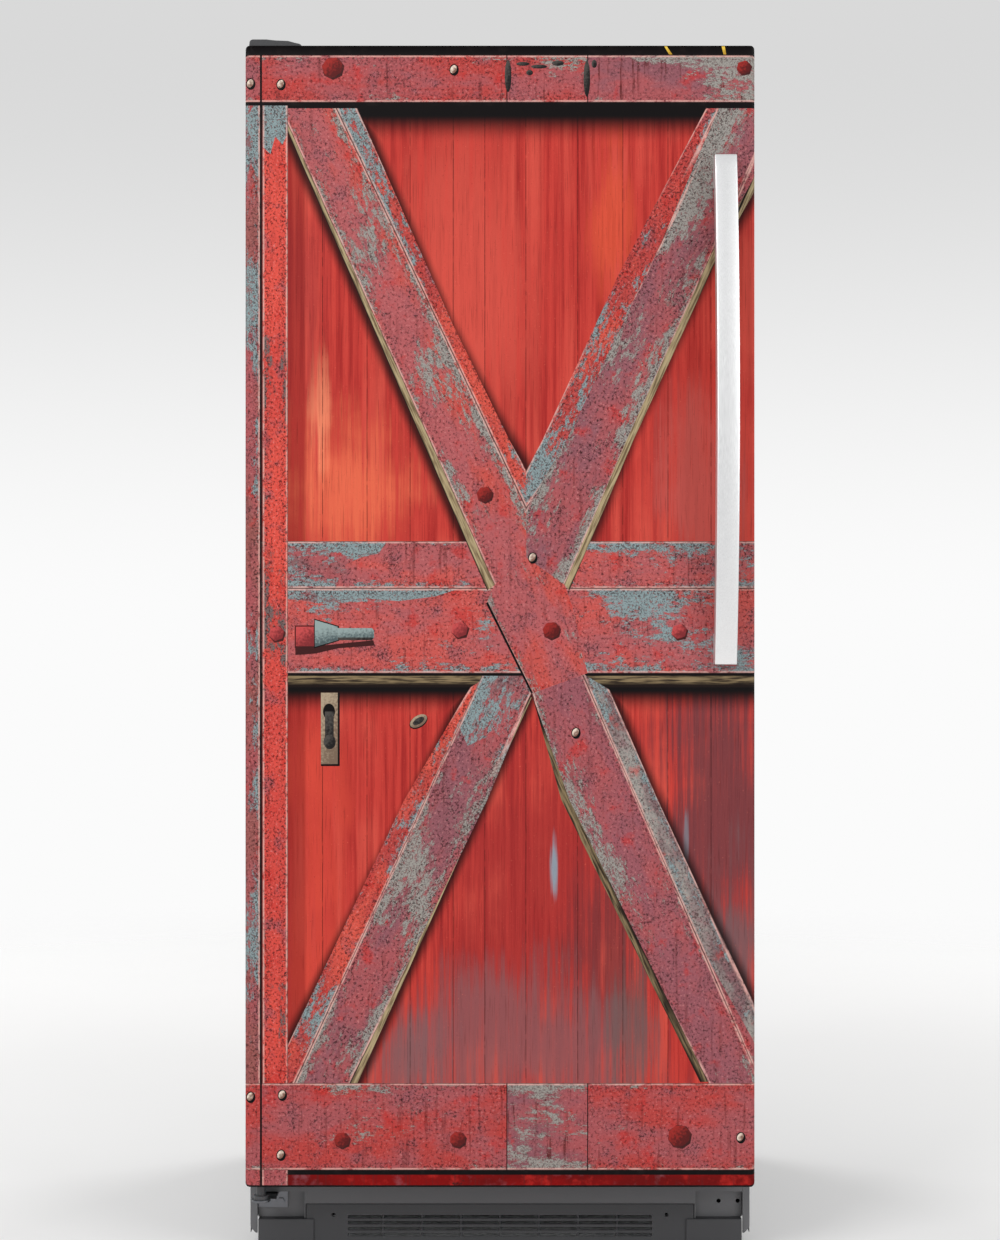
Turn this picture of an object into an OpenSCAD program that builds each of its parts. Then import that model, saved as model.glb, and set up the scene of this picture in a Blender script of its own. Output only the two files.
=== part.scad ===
// Upright single-door refrigerator with a printed film on its door.
// Millimetres. +Z is up, the door faces -Y, and the origin is on the floor under the middle of the whole machine.

/* [Overall] */
// Width of the cabinet and of the door
cabinet_w = 756; // [630:1:910]
// Height of the door
door_h = 1695; // [1410:1:2040]
// Depth of the cabinet behind the door gasket
cabinet_d = 640; // [533:1:770]
// Height of the door's lower edge above the floor
door_bottom = 112; // [106:1:135]

/* [Cabinet walls] */
// Insulated side wall, from the steel to the foam's inner face
wall_side = 44; // [36:1:54]
// Insulated back wall
wall_back = 50; // [41:1:60]
// Insulated top wall
wall_top = 54; // [45:1:65]
// Height of the cavity floor's foam above the door's lower edge
floor_rise = 38; // [34:1:46]
// Steel sheet of the wrapper, door skin and panels
sheet_t = 1; // [0.8:0.1:1.2]
// Formed plastic of both liners
liner_t = 2; // [1.6:0.1:2.4]

/* [Machine compartment] */
// Depth of the compartment at the lower back
machine_d = 210; // [195:1:252]
// Height of the compartment above the cabinet's underside
machine_h = 236; // [228:1:283]
// Diameter of the compressor's steel can
compressor_w = 144; // [120:1:165]

/* [Door] */
// Thickness from the film's face to the back of the door's flange
door_t = 52; // [46:1:62]
// Gap that the gasket closes between door and cabinet
gasket_gap = 13; // [11:0.5:16]
// Printed film on the door's face
film_t = 0.5; // [0.4:0.1:0.6]
// Radius of the door's upright front edges
edge_r = 4; // [3.4:0.1:4.8]
// Radius of the door's four corners, seen from the front
corner_r = 7; // [6:0.1:8.4]
// Height of the plastic caps that close the door's ends
cap_h = 16; // [16:1:19]
// How far the formed ribs of the door liner reach into the cabinet
rib_d = 58; // [49:1:69]
// Depth of a door bin
bin_d = 99; // [83:1:108]
// Height of a door bin
bin_h = 105; // [88:1:126]

/* [Hinge] */
// Hinge pin, in from the side of the door
pin_in = 20; // [18:1:22]
// Hinge pin, behind the film's face
pin_back = 28; // [26:1:30]
// Diameter of both hinge pins
pin_w = 8; // [7:0.5:9]
// Thickness of the hinge plates
plate_t = 3.2; // [2.7:0.1:3.8]

/* [Handle] */
// Length of the bowed handle
handle_l = 753; // [628:1:903]
// Width of the handle's face
handle_w = 33; // [28:1:39]
// Reach of the handle in front of the door at its middle
handle_reach = 66; // [58:1:79]
// Reach of the handle's face at its ends
handle_end = 25; // [23:1:28]
// Depth of the bar at its middle
handle_t = 27; // [23:1:30]

/* [Fittings] */
// Thickness of a shelf's frame
shelf_t = 14; // [12:1:17]
// Pane of a shelf
glass_t = 5; // [4:0.5:6]
// Diameter of the rear rollers
roller_w = 40; // [34:1:42]

/* [Hidden] */
$fn = 48;

// Clearances
turn_gap = 0.05;   // radial, pin or shaft in its bore
seat_gap = 0.3;    // loose parts in their seats
cut = 1;           // overrun of a cut past a face

// Levels and depths of the whole machine
door_top = door_bottom + door_h;
hinge_gap = 1.5;
cab_top = door_top + hinge_gap;
half_w = cabinet_w / 2;
depth_all = handle_reach + door_t + gasket_gap + cabinet_d;
door_front = handle_reach - depth_all / 2;
skin_front = door_front + film_t;
door_back = door_front + door_t;
cab_front = door_back + gasket_gap;
cab_back = cab_front + cabinet_d;
side_bottom = 26;
foam_bottom = door_bottom - 18;

// Depth of the duct panel that stands off the cavity's back wall
evap_d = 46;

// Cavity: liner_* is the liner's outer face, cav_* its inner face
liner_x = half_w - wall_side;
cav_x = liner_x - liner_t;
cav_back = cab_back - wall_back - liner_t;
cav_top = cab_top - wall_top - liner_t;
liner_floor = door_bottom + floor_rise;
cav_floor = liner_floor + liner_t;
machine_y = cab_back - machine_d;
machine_top = foam_bottom + machine_h;
hump_y = machine_y - wall_back - liner_t;
hump_top = machine_top + wall_back + liner_t;

// Base
rail_bottom = door_bottom - 42;
rail_x = half_w - 11;
pocket_x = half_w - 82;
pocket_d = 10;
pocket_top = door_bottom - 22;
grille_bottom = 12;
block_top = rail_bottom - 22;
pan_z = 44;
pan_t = 1.5;
pan_x = half_w - sheet_t - 1;
leg_x = half_w - 42;
leg_y = cab_front + 62;
leg_r = 5;
roller_x = half_w - 52;
roller_y = cab_back - 60;
roller_r = roller_w / 2;
roller_l = 18;
axle_r = 4;

// Door hinge
pin_r = pin_w / 2;
pin_x = pin_in - half_w;
pin_y = door_front + pin_back;
bushing_r = 7;
bushing_l = cap_h - 1;
cap_t = 2.5;
riser_z = pocket_top - 3;
bolt_r = 3;
bolt_gap = 0.2;
foot_bolts = [pin_x - 3, pin_x + 26];
foot_bolt_z = riser_z - 15;
top_bolts = [pin_x + 6, pin_x + 34];
top_bolt_y = cab_front + 45;

// Door liner and bins
flange_in = 4;
rib_x = cav_x - 22;
rib_w = 24;
rib_top = cav_top - 18;
rib_bottom = cav_floor + 14;
bin_count = 4;
bin_x = rib_x - rib_w - 0.5;
bin_wall = 2.5;
bin_gap = 1;
bin_pitch = (rib_top - rib_bottom - 2 * rib_w - bin_h - 150) / (bin_count - 1);
lug = [8, 42, 6];

// Shelves
shelf_y0 = cab_front + 108;
shelf_d = cav_back - evap_d - 13 - shelf_y0;
shelf_x = cav_x - 2;
ledge = [9, shelf_d - 30, 8];
rim = 16;
lid_z = hump_top + 8;
shelf_pitch = (cav_top - lid_z) / 4.45;
shelf_zs = [lid_z + 3 * shelf_pitch - 20, lid_z + 2 * shelf_pitch - 10, lid_z + shelf_pitch, lid_z];
crisper_y1 = hump_y - 5;
crisper_h = lid_z - ledge[2] - cav_floor - 22;

// Ceiling control and evaporator
control_y0 = cab_front + rib_d - gasket_gap + 25;
control = [300, 120, 42];
knob_x = -90;
knob_z = cav_top - 23;
plunger_x = 100;
plunger_r = 3.5;
plunger_l = 34;
evap_x = 250;
evap_h = 440;
evap_z = cav_top - 80 - evap_h;
evap_fan_z = evap_z + evap_h - 95;
evap_fan_r = 52;

// Machine compartment contents
deck_z = pan_z + pan_t;
compressor_x = half_w - 180;
compressor_y = machine_y + machine_d / 2;
compressor_h = 150;
grommet_h = 14;
fan_y = compressor_y;
fan_z = deck_z + 92;
fan_r = 66;
fan_x = compressor_x - compressor_w / 2 - 62;
coil_x0 = -half_w + 40;
coil_x1 = fan_x - 60;
coil_rows = 6;
coil_layers = 3;
tube_r = 2.5;
row_pitch = 26;
layer_pitch = 46;
coil_z0 = deck_z + 30;
coil_y0 = fan_y - layer_pitch;
tube_out = [compressor_x - compressor_w / 4, deck_z + grommet_h + 100];
tube_in = [compressor_x + 20, deck_z + grommet_h + 88];
drain_r = 6;
drain_x = compressor_x;
drain_y = cav_back - 26;

// Handle bow: the face is an arc through its middle and both ends
handle_x = half_w - 45;
handle_z = door_bottom + door_h * 0.68;
bow = handle_reach - handle_end;
face_r = (pow(handle_l / 2, 2) + bow * bow) / (2 * bow);
back_bow = bow - (handle_t - 18);
back_r = (pow(handle_l / 2, 2) + back_bow * back_bow) / (2 * back_bow);
foot_h = 46;
handle_wall = 3;
stud_r = 4;
stud_z = handle_l / 2 - foot_h / 2;

// ---- Shared shapes ----

// A box between two corners
module block(low, high) {
    translate(low) cube(high - low);
}

// A box centred on the middle plane, from its half width
module wide(x, y0, y1, z0, z1) {
    block([-x, y0, z0], [x, y1, z1]);
}

// The same shape on the left and on the right
module both_sides() {
    children();
    mirror([1, 0, 0]) children();
}

// A rod along Y from y0 to y1
module rod_y(x, z, r, y0, y1) {
    translate([x, y0, z]) rotate([-90, 0, 0]) cylinder(r = r, h = y1 - y0);
}

// A rod along X from x0 to x1
module rod_x(y, z, r, x0, x1) {
    translate([x0, y, z]) rotate([0, 90, 0]) cylinder(r = r, h = x1 - x0);
}

// A rod along Z from z0 to z1
module rod_z(x, y, r, z0, z1) {
    translate([x, y, z0]) cylinder(r = r, h = z1 - z0);
}

// A flat rectangle with rounded corners
module round_rect(w, d, r) {
    for (x = [r - w / 2, w / 2 - r], y = [r - d / 2, d / 2 - r])
        translate([x, y]) circle(r);
    square([w - 2 * r, d], center = true);
    square([w, d - 2 * r], center = true);
}

// Plan of the door grown by g: rounded front corners, square at the back
module door_plan(g, y1) {
    r = edge_r + g;
    w = half_w + g;
    front = skin_front - g;
    for (x = [r - w, w - r]) translate([x, front + r]) circle(r);
    translate([r - w, front]) square([2 * (w - r), y1 - front]);
    translate([-w, front + r]) square([2 * w, y1 - front - r]);
}

// Everything inside the door's outline as seen from the front, grown by g
module door_outline(g) {
    translate([0, cab_front, door_bottom + door_h / 2])
        rotate([90, 0, 0])
        linear_extrude(2 * door_t)
        round_rect(cabinet_w + 2 * g, door_h, corner_r);
}

// A thin-walled open tray: outer size, wall, corner radius
module tray(size, wall, r) {
    difference() {
        linear_extrude(size[2]) round_rect(size[0], size[1], r);
        translate([0, 0, wall]) linear_extrude(size[2])
            round_rect(size[0] - 2 * wall, size[1] - 2 * wall, r - wall);
    }
}

// A pipe along points, with round elbows
module pipe(points, r) {
    for (i = [1 : len(points) - 1]) {
        step = points[i] - points[i - 1];
        translate(points[i - 1])
            rotate([0, acos(step[2] / norm(step)), atan2(step[1], step[0])])
            cylinder(r = r, h = norm(step));
        if (i < len(points) - 1) translate(points[i]) sphere(r);
    }
}

// A fan: hub and pitched blades round +Z
module fan(r, hub_r, hub_h, blades, pitch, bore_r) {
    blade_w = 0.62 * r;
    difference() {
        union() {
            cylinder(r = hub_r, h = hub_h);
            intersection() {
                cylinder(r = r, h = hub_h);
                for (i = [0 : blades - 1]) rotate(i * 360 / blades)
                    translate([hub_r - 2, 0, hub_h / 2]) rotate([pitch, 0, 0])
                    translate([0, -blade_w / 2, -0.8]) cube([r, blade_w, 1.6]);
            }
        }
        translate([0, 0, -cut]) cylinder(r = bore_r, h = hub_h - 1);
    }
}

// The cavity's air space, grown by g
module cavity(g, y0) {
    difference() {
        wide(cav_x + g, y0, cav_back + g, cav_floor - g, cav_top + g);
        wide(half_w, hump_y + g, cab_back, foam_bottom, hump_top - g);
    }
}

// ---- Cabinet ----

// Pre-painted steel wrapper: sides, top and the front flange that the gasket holds to
module cabinet_shell() {
    color("dimgray") difference() {
        wide(half_w, cab_front, cab_back, side_bottom, cab_top);
        wide(half_w - sheet_t, cab_front + sheet_t, cab_back + cut, side_bottom - cut, cab_top - sheet_t);
        wide(liner_x, cab_front - cut, cab_front + 2 * sheet_t, liner_floor - cut, cab_top - wall_top);
        wide(rail_x, cab_front - cut, cab_front + 2 * sheet_t, side_bottom - cut, liner_floor);
        toe_corners();
        for (x = top_bolts) rod_z(x, top_bolt_y, bolt_r + bolt_gap, cab_top - 2 * sheet_t, cab_top + cut);
    }
}

// Slanted cut at the lower front corners of the wrapper's sides
module toe_corners() {
    both_sides() translate([half_w, cab_front - cut, side_bottom]) rotate([-90, 0, 0])
        linear_extrude(3 * cut + sheet_t) polygon([[cut, cut], [-8, cut], [-8, 0], [0, -9], [cut, -9]]);
}

// Sheet that closes the back above the machine compartment
module back_panel() {
    color("dimgray") wide(half_w - sheet_t, cab_back - sheet_t, cab_back, machine_top, cab_top - sheet_t);
}

// Folded sheet: underside of the insulation, front wall and ceiling of the compartment
module bottom_plate() {
    x = half_w - sheet_t;
    color("silver") difference() {
        union() {
            wide(x, cab_front + 1.5 * sheet_t, machine_y, foam_bottom - sheet_t, foam_bottom);
            wide(x, machine_y, machine_y + sheet_t, foam_bottom - sheet_t, machine_top);
            wide(x, machine_y, cab_back, machine_top - sheet_t, machine_top);
        }
        rod_z(drain_x, drain_y, drain_r, machine_top - 2 * sheet_t, machine_top + cut);
    }
}

// Polyurethane foam that fills the walls
module cabinet_foam() {
    x = half_w - sheet_t;
    color("lemonchiffon") difference() {
        wide(x, cab_front + 1.5 * sheet_t, cab_back - sheet_t, foam_bottom, cab_top - sheet_t);
        cavity(liner_t, cab_front - cut);
        wide(x + cut, machine_y, cab_back, foam_bottom - cut, machine_top);
        rod_z(drain_x, drain_y, drain_r, machine_top - cut, hump_top + cut);
        for (x = top_bolts) rod_z(x, top_bolt_y, bolt_r + bolt_gap, cab_top - 20, cab_top);
    }
}

// Vacuum-formed liner with its shelf ledges
module cabinet_liner() {
    color("white") {
        difference() {
            cavity(liner_t, cab_front);
            cavity(0, cab_front - cut);
            rod_z(drain_x, drain_y, drain_r, hump_top - 2 * liner_t, hump_top + cut);
        }
        for (z = shelf_zs) both_sides()
            translate([cav_x - ledge[0], shelf_y0 + 10, z - ledge[2]]) cube(ledge);
    }
}

// Steel cross rail under the door opening, with a pressed pocket at each end for a hinge
module front_rail() {
    y0 = cab_front;
    t = 1.5 * sheet_t;
    color("gray") difference() {
        union() {
            wide(pocket_x, y0, y0 + t, rail_bottom, liner_floor);
            wide(pocket_x, y0, y0 + 30, rail_bottom, rail_bottom + t);
            both_sides() {
                block([pocket_x, y0, pocket_top], [rail_x, y0 + t, liner_floor]);
                block([pocket_x - t, y0 + pocket_d, block_top], [rail_x, y0 + pocket_d + t, pocket_top]);
                block([pocket_x - t, y0, pocket_top - t], [rail_x, y0 + pocket_d + t, pocket_top]);
                block([pocket_x - t, y0, block_top], [pocket_x, y0 + pocket_d + t, pocket_top]);
            }
        }
        both_sides() for (x = foot_bolts)
            rod_y(x, foot_bolt_z, bolt_r + bolt_gap, y0 + pocket_d - cut, y0 + pocket_d + 2 * t);
    }
}

// Moulded toe grille: slotted middle, boxed ends under the hinge pockets
module toe_grille() {
    slots = 4;
    slot_pitch = 9;
    slot_h = 5.6;
    slot_x = half_w - 148;
    rib_pitch = 59;
    ribs = floor(slot_x / rib_pitch - 0.2);
    y0 = cab_front - 2;
    t = 2.5;
    top = rail_bottom - seat_gap;
    slot_top = top - 16;
    color("dimgray") {
        difference() {
            union() {
                wide(pocket_x - 3, y0, y0 + 24, grille_bottom, top);
                wide(half_w - 12.5, y0 - 3, y0 + 24, grille_bottom, block_top - seat_gap);
            }
            wide(pocket_x - 3 - t, y0 + t, y0 + 25, grille_bottom + t, top - t);
            wide(half_w - 12.5 - t, y0 + t, y0 + 25, grille_bottom + t, block_top - seat_gap - t);
            wide(pocket_x - 14, y0 - 4, y0, grille_bottom - cut, top);
            for (i = [0 : slots - 1]) {
                z = slot_top - i * slot_pitch;
                wide(slot_x, y0 - cut, y0 + t + cut, z - slot_h, z);
            }
            both_sides() rod_y(slot_x + 22, slot_top, 3, y0 - cut, y0 + t + cut);
        }
        for (i = [-ribs : ribs])
            block([i * rib_pitch - 1, y0 + t, slot_top - slots * slot_pitch],
                  [i * rib_pitch + 1, y0 + t + 8, slot_top + 2]);
    }
}

// Steel base: floor of the compartment, side rails, leg nuts and roller ears
module base_pan() {
    z1 = foam_bottom - sheet_t;
    ear = roller_l / 2 + 0.6;
    color("darkgray") difference() {
        union() {
            wide(pan_x, cab_front + 34, cab_back - 2, pan_z, pan_z + pan_t);
            both_sides() {
                block([pan_x - pan_t, cab_front + 34, pan_z], [pan_x, cab_back - 2, z1]);
                rod_z(leg_x, leg_y, 10, pan_z, pan_z + 14);
                for (x = [roller_x - ear - 2.5, roller_x + ear])
                    block([x, roller_y - 14, roller_r - 12], [x + 2.5, roller_y + 14, pan_z]);
            }
        }
        both_sides() {
            rod_z(leg_x, leg_y, leg_r + turn_gap, pan_z - cut, pan_z + 15);
            rod_x(roller_y, roller_r, axle_r + turn_gap, roller_x - 20, roller_x + 20);
        }
    }
}

// Levelling leg: foot, hexagon and threaded stud
module leg(side) {
    color("black") translate([side * leg_x, leg_y, 0]) {
        cylinder(r1 = 17, r2 = 18, h = 3);
        translate([0, 0, 3]) cylinder(r1 = 18, r2 = 12, h = 7);
        translate([0, 0, 10]) cylinder(r = 9.8, h = 9, $fn = 6);
        translate([0, 0, 19]) cylinder(r = leg_r, h = pan_z + 2);
    }
}

// Nylon roller with a shallow groove round its tread
module roller(side) {
    color("black") difference() {
        rod_x(roller_y, roller_r, roller_r, side * roller_x - roller_l / 2, side * roller_x + roller_l / 2);
        rod_x(roller_y, roller_r, axle_r + 2 * turn_gap, side * roller_x - 15, side * roller_x + 15);
        for (end = [-1, 1]) translate([side * roller_x + end * roller_l / 2, roller_y, roller_r])
            rotate([0, 90, 0]) difference() {
                cylinder(r = roller_r - 5, h = 4, center = true);
                cylinder(r = axle_r + 4, h = 6, center = true);
            }
    }
}

// Riveted pins that carry the rollers
module roller_axles() {
    span = roller_l / 2 + 4.5;
    color("silver") both_sides() {
        rod_x(roller_y, roller_r, axle_r, roller_x - span, roller_x + span);
        rod_x(roller_y, roller_r, axle_r + 2, roller_x + span, roller_x + span + 1.5);
        rod_x(roller_y, roller_r, axle_r + 2, roller_x - span - 1.5, roller_x - span);
    }
}

// ---- Hinges ----

// Plate screwed to the cabinet's top, with the pin that the door hangs on
module top_hinge_bracket() {
    arm_w = 15;
    z0 = cab_top;
    color("silver") difference() {
        union() {
            block([pin_x - arm_w + 1, pin_y, z0], [pin_x + arm_w, cab_front + 30, z0 + plate_t]);
            rod_z(pin_x, pin_y, arm_w - 1, z0, z0 + plate_t);
            block([pin_x - arm_w + 1, cab_front + 22, z0], [pin_x + 49, cab_front + 66, z0 + plate_t]);
            rod_z(pin_x, pin_y, pin_r, door_top - bushing_l + 2, z0 + plate_t);
        }
        for (x = top_bolts) rod_z(x, top_bolt_y, bolt_r + bolt_gap, z0 - cut, z0 + 2 * plate_t);
    }
}

// Moulded cover over the top hinge, lower towards the middle of the machine
module top_hinge_cover() {
    x0 = pin_x - 16;
    w = 78;
    y0 = pin_y - 17;
    y1 = cab_front + 82;
    outer = [[0, 0], [0.6, 7], [2.2, 9.6], [5, 10.8], [26, 10.8], [38, 9.4], [58, 8.6], [68, 5.9],
             [75, 4.4], [w, 2.4], [w, 0]];
    inner = [[1.6, -1], [2.2, 7], [5, 9.2], [26, 9.2], [38, 7.8], [57, 7], [67, 4.3], [76, 2.2], [76, -1]];
    color("gray") difference() {
        translate([x0, y1, cab_top]) rotate([90, 0, 0]) linear_extrude(y1 - y0) polygon(outer);
        translate([x0, y1 - 1.6, cab_top]) rotate([90, 0, 0]) linear_extrude(y1 - y0 - 3.2) polygon(inner);
    }
}

// Folded plate in the rail's pocket, with the pin that the door stands on
module bottom_hinge_bracket() {
    y1 = cab_front + pocket_d;
    arm_w = 14;
    color("silver") difference() {
        union() {
            block([pin_x - 9, y1 - plate_t, foot_bolt_z - 9], [pin_x + 36, y1, riser_z]);
            block([pin_x - arm_w + 5, pin_y, riser_z - plate_t], [pin_x + arm_w + 8, y1, riser_z]);
            rod_z(pin_x, pin_y, arm_w, riser_z - plate_t, riser_z);
            rod_z(pin_x, pin_y, pin_r, riser_z - plate_t, door_bottom + bushing_l - 2);
        }
        for (x = foot_bolts) rod_y(x, foot_bolt_z, bolt_r + bolt_gap, y1 - 2 * plate_t, y1 + cut);
    }
}

// Nylon riser round the lower pin: the door's bushing turns on it
module hinge_riser() {
    color("white") difference() {
        union() {
            rod_z(pin_x, pin_y, 11, riser_z, riser_z + 6);
            rod_z(pin_x, pin_y, bushing_r, riser_z, door_bottom - seat_gap);
        }
        rod_z(pin_x, pin_y, pin_r + turn_gap, riser_z - cut, door_bottom + cut);
    }
}

// A hexagon bolt along +Z, its head from 0 up
module hex_bolt() {
    cylinder(r = 5.8, h = 3, $fn = 6);
    translate([0, 0, -12]) cylinder(r = bolt_r, h = 12);
}

// Two bolts through each hinge plate
module hinge_bolts() {
    color("silver") {
        for (x = top_bolts) translate([x, top_bolt_y, cab_top + plate_t]) hex_bolt();
        for (x = foot_bolts) translate([x, cab_front + pocket_d - plate_t, foot_bolt_z])
            rotate([90, 0, 0]) hex_bolt();
    }
}

// ---- Ceiling control ----

// Moulded housing on the cavity's ceiling for the knob, the door switch and the lamp
module control_housing() {
    wall = 2.5;
    z0 = cav_top - control[2];
    y1 = control_y0 + control[1];
    color("white") difference() {
        wide(control[0] / 2, control_y0, y1, z0, cav_top);
        wide(control[0] / 2 - wall, control_y0 + wall, y1 - wall, z0 + wall, cav_top + cut);
        wide(lamp_size()[0] / 2, control_y0 + 30, control_y0 + 30 + lamp_size()[1], z0 - cut, z0 + 2 * wall);
        rod_y(knob_x, knob_z, 4 + turn_gap, control_y0 - cut, control_y0 + 2 * wall);
        rod_y(plunger_x, knob_z, plunger_r + turn_gap, control_y0 - cut, control_y0 + 2 * wall);
    }
}

function lamp_size() = [110, 60];

// Clear snap-in cover of the lamp
module lamp_cover() {
    size = lamp_size() - [2 * seat_gap, 2 * seat_gap];
    z0 = cav_top - control[2];
    color("azure") translate([0, control_y0 + 30 + lamp_size()[1] / 2, 0]) difference() {
        union() {
            translate([0, 0, z0 - 4]) linear_extrude(4) round_rect(size[0] + 8, size[1] + 8, 4);
            translate([0, 0, z0]) linear_extrude(6) square(size, center = true);
        }
        translate([0, 0, z0 - 2]) linear_extrude(10) square(size - [4, 4], center = true);
    }
}

// Circuit board with its row of light-emitting diodes
module lamp() {
    y = control_y0 + 30 + lamp_size()[1] / 2;
    color("green") wide(46, y - 14, y + 14, cav_top - 1.6, cav_top);
    color("yellow") for (i = [-3 : 3])
        block([i * 12 - 2.5, y - 2.5, cav_top - 3.2], [i * 12 + 2.5, y + 2.5, cav_top - 1.6]);
}

// Temperature knob and its shaft
module temperature_knob() {
    color("gainsboro") difference() {
        union() {
            rod_y(knob_x, knob_z, 4, control_y0 - seat_gap, control_y0 + 14);
            rod_y(knob_x, knob_z, 16, control_y0 - 5, control_y0 - seat_gap);
            rod_y(knob_x, knob_z, 13.5, control_y0 - 17, control_y0 - 5);
        }
        block([knob_x - 1, control_y0 - 18, knob_z + 4], [knob_x + 1, control_y0 - 16, knob_z + 13]);
    }
}

// Sprung plunger of the door switch, held in by the shut door
module switch_plunger() {
    tip = door_back + rib_d + seat_gap;
    color("white") {
        rod_y(plunger_x, knob_z, plunger_r, tip, tip + plunger_l);
        rod_y(plunger_x, knob_z, plunger_r + 2, control_y0 + 8, control_y0 + 10);
    }
}

// ---- Cold side ----

// Duct panel in front of the evaporator, with the fan's barred opening and the return slots
module evaporator_cover() {
    wall = 2.5;
    y0 = cav_back - evap_d;
    color("white") for (i = [-3 : 3])
        block([i * 15 - 1.5, y0, evap_fan_z - evap_fan_r - 6],
              [i * 15 + 1.5, y0 + wall, evap_fan_z + evap_fan_r + 6]);
    color("white") difference() {
        wide(evap_x, y0, cav_back, evap_z, evap_z + evap_h);
        wide(evap_x - wall, y0 + wall, cav_back + cut, evap_z + wall, evap_z + evap_h - wall);
        rod_y(0, evap_fan_z, evap_fan_r + 4, y0 - cut, y0 + 2 * wall);
        for (i = [-7 : 7], z = [evap_z + 16, evap_z + 30])
            block([i * 28 - 9, y0 - cut, z], [i * 28 + 9, y0 + 2 * wall, z + 6]);
    }
}

// Finned coil
module evaporator_coil() {
    fins = 26;
    x = evap_x - 36;
    y = cav_back - 15 - seat_gap;
    z0 = evap_z + 50;
    rows = 5;
    pitch = 40;
    color("silver") {
        for (i = [0 : fins - 1]) translate([-x + 8 + i * (2 * x - 16) / (fins - 1) - 0.4, y - 15, z0 - 14])
            cube([0.8, 30, (rows - 1) * pitch + 28]);
        for (i = [0 : rows - 1]) rod_x(y, z0 + i * pitch, 4, -x, x);
        for (i = [0 : rows - 2]) translate([(i % 2 == 0 ? x : -x), y, z0 + (i + 0.5) * pitch])
            rotate([90, 0, 0]) rotate(i % 2 == 0 ? -90 : 90)
            rotate_extrude(angle = 180) translate([pitch / 2, 0]) circle(4, $fn = 24);
    }
}

// Motor on a plate fixed to the back wall
module evaporator_fan_motor() {
    y0 = cav_back - 22;
    color("dimgray") {
        rod_y(0, evap_fan_z, 18, y0, cav_back - 3);
        rod_y(0, evap_fan_z, 2, y0 - 11, y0);
        wide(80, cav_back - 3, cav_back, evap_fan_z - 14, evap_fan_z + 14);
    }
}

// Fan that blows the cold air out of the duct panel
module evaporator_fan() {
    color("white") translate([0, cav_back - 24, evap_fan_z]) rotate([90, 0, 0])
        fan(evap_fan_r, 13, 12, 5, 28, 2 + turn_gap);
}

// Drain from the cavity's step to the drip tray
module drain_tube() {
    z0 = machine_top - 42;
    color("white") difference() {
        rod_z(drain_x, drain_y, drain_r - turn_gap, z0, hump_top);
        rod_z(drain_x, drain_y, drain_r - 1.6, z0 - cut, hump_top + cut);
    }
}

// ---- Machine compartment ----

// Sealed steel can on its foot plate
module compressor() {
    r = compressor_w / 2;
    z0 = deck_z + grommet_h - 4;
    color("black") difference() {
        compressor_can(r, z0);
        rod_y(tube_out[0], tube_out[1], 3 + turn_gap, compressor_y - r, compressor_y - 0.68 * r);
        rod_y(tube_in[0], tube_in[1], 3 + turn_gap, compressor_y - r, compressor_y - 0.8 * r);
    }
}

// Can, foot plate and relay box, round its own axis
module compressor_can(r, z0) {
    translate([compressor_x, compressor_y, z0]) {
        difference() {
            translate([-r - 10, 22 - r, 0]) cube([2 * r + 20, 2 * r - 44, 3]);
            for (x = [-r - 2, r + 2], y = [34 - r, r - 34]) translate([x, y, -cut]) cylinder(r = 5, h = 5);
        }
        translate([0, 0, 3]) cylinder(r1 = r - 14, r2 = r, h = 18);
        translate([0, 0, 21]) cylinder(r = r, h = compressor_h - 60);
        translate([0, 0, compressor_h - 39]) cylinder(r1 = r, r2 = r - 22, h = 24);
        translate([0, 0, compressor_h - 15]) cylinder(r = r - 22, h = 4);
        translate([0, -r + 4, 44]) rotate([90, 0, 0]) linear_extrude(24) round_rect(46, 52, 6);
    }
}

// Rubber mounts between the compressor's foot plate and the base
module compressor_grommets() {
    r = compressor_w / 2;
    color("dimgray") for (x = [-r - 2, r + 2], y = [34 - r, r - 34])
        translate([compressor_x + x, compressor_y + y, deck_z]) {
            cylinder(r = 9, h = grommet_h - 4);
            cylinder(r = 4.9, h = grommet_h);
        }
}

// Tray on the warm compressor, where the drain's water dries off
module drip_tray() {
    z0 = deck_z + grommet_h - 4 + compressor_h - 11;
    color("gainsboro") translate([compressor_x, compressor_y, z0])
        tray([compressor_w + 70, machine_d - 34, 30], 2, 12);
}

// Layers of tube through upright fins, on two end plates
module condenser() {
    bend_r = row_pitch / 2;
    x1 = coil_x1;
    x0 = coil_x0 + bend_r;
    y0 = coil_y0 - 12;
    y1 = coil_y0 + (coil_layers - 1) * layer_pitch + 12;
    fins = 16;
    color("black") for (k = [0 : coil_layers - 1]) {
        y = coil_y0 + k * layer_pitch;
        for (i = [0 : coil_rows - 1]) rod_x(y, coil_z0 + i * row_pitch, tube_r, x0, x1, $fn = 14);
        for (i = [0 : coil_rows - 2]) translate([i % 2 == 0 ? x1 : x0, y, coil_z0 + (i + 0.5) * row_pitch])
            rotate([90, 0, 0]) rotate(i % 2 == 0 ? -90 : 90)
            rotate_extrude(angle = 180, $fn = 20) translate([bend_r, 0]) circle(tube_r, $fn = 14);
    }
    color("black") for (x = [x0 + 4, x1 - 4]) block([x - 1, y0, deck_z], [x + 1, y1, coil_z0 + 6]);
    color("black") for (i = [0 : fins - 1]) {
        x = x0 + 16 + i * (x1 - x0 - 32) / (fins - 1);
        block([x - 0.6, y0, coil_z0 - 12], [x + 0.6, y1, coil_z0 + (coil_rows - 0.5) * row_pitch]);
    }
}

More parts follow.
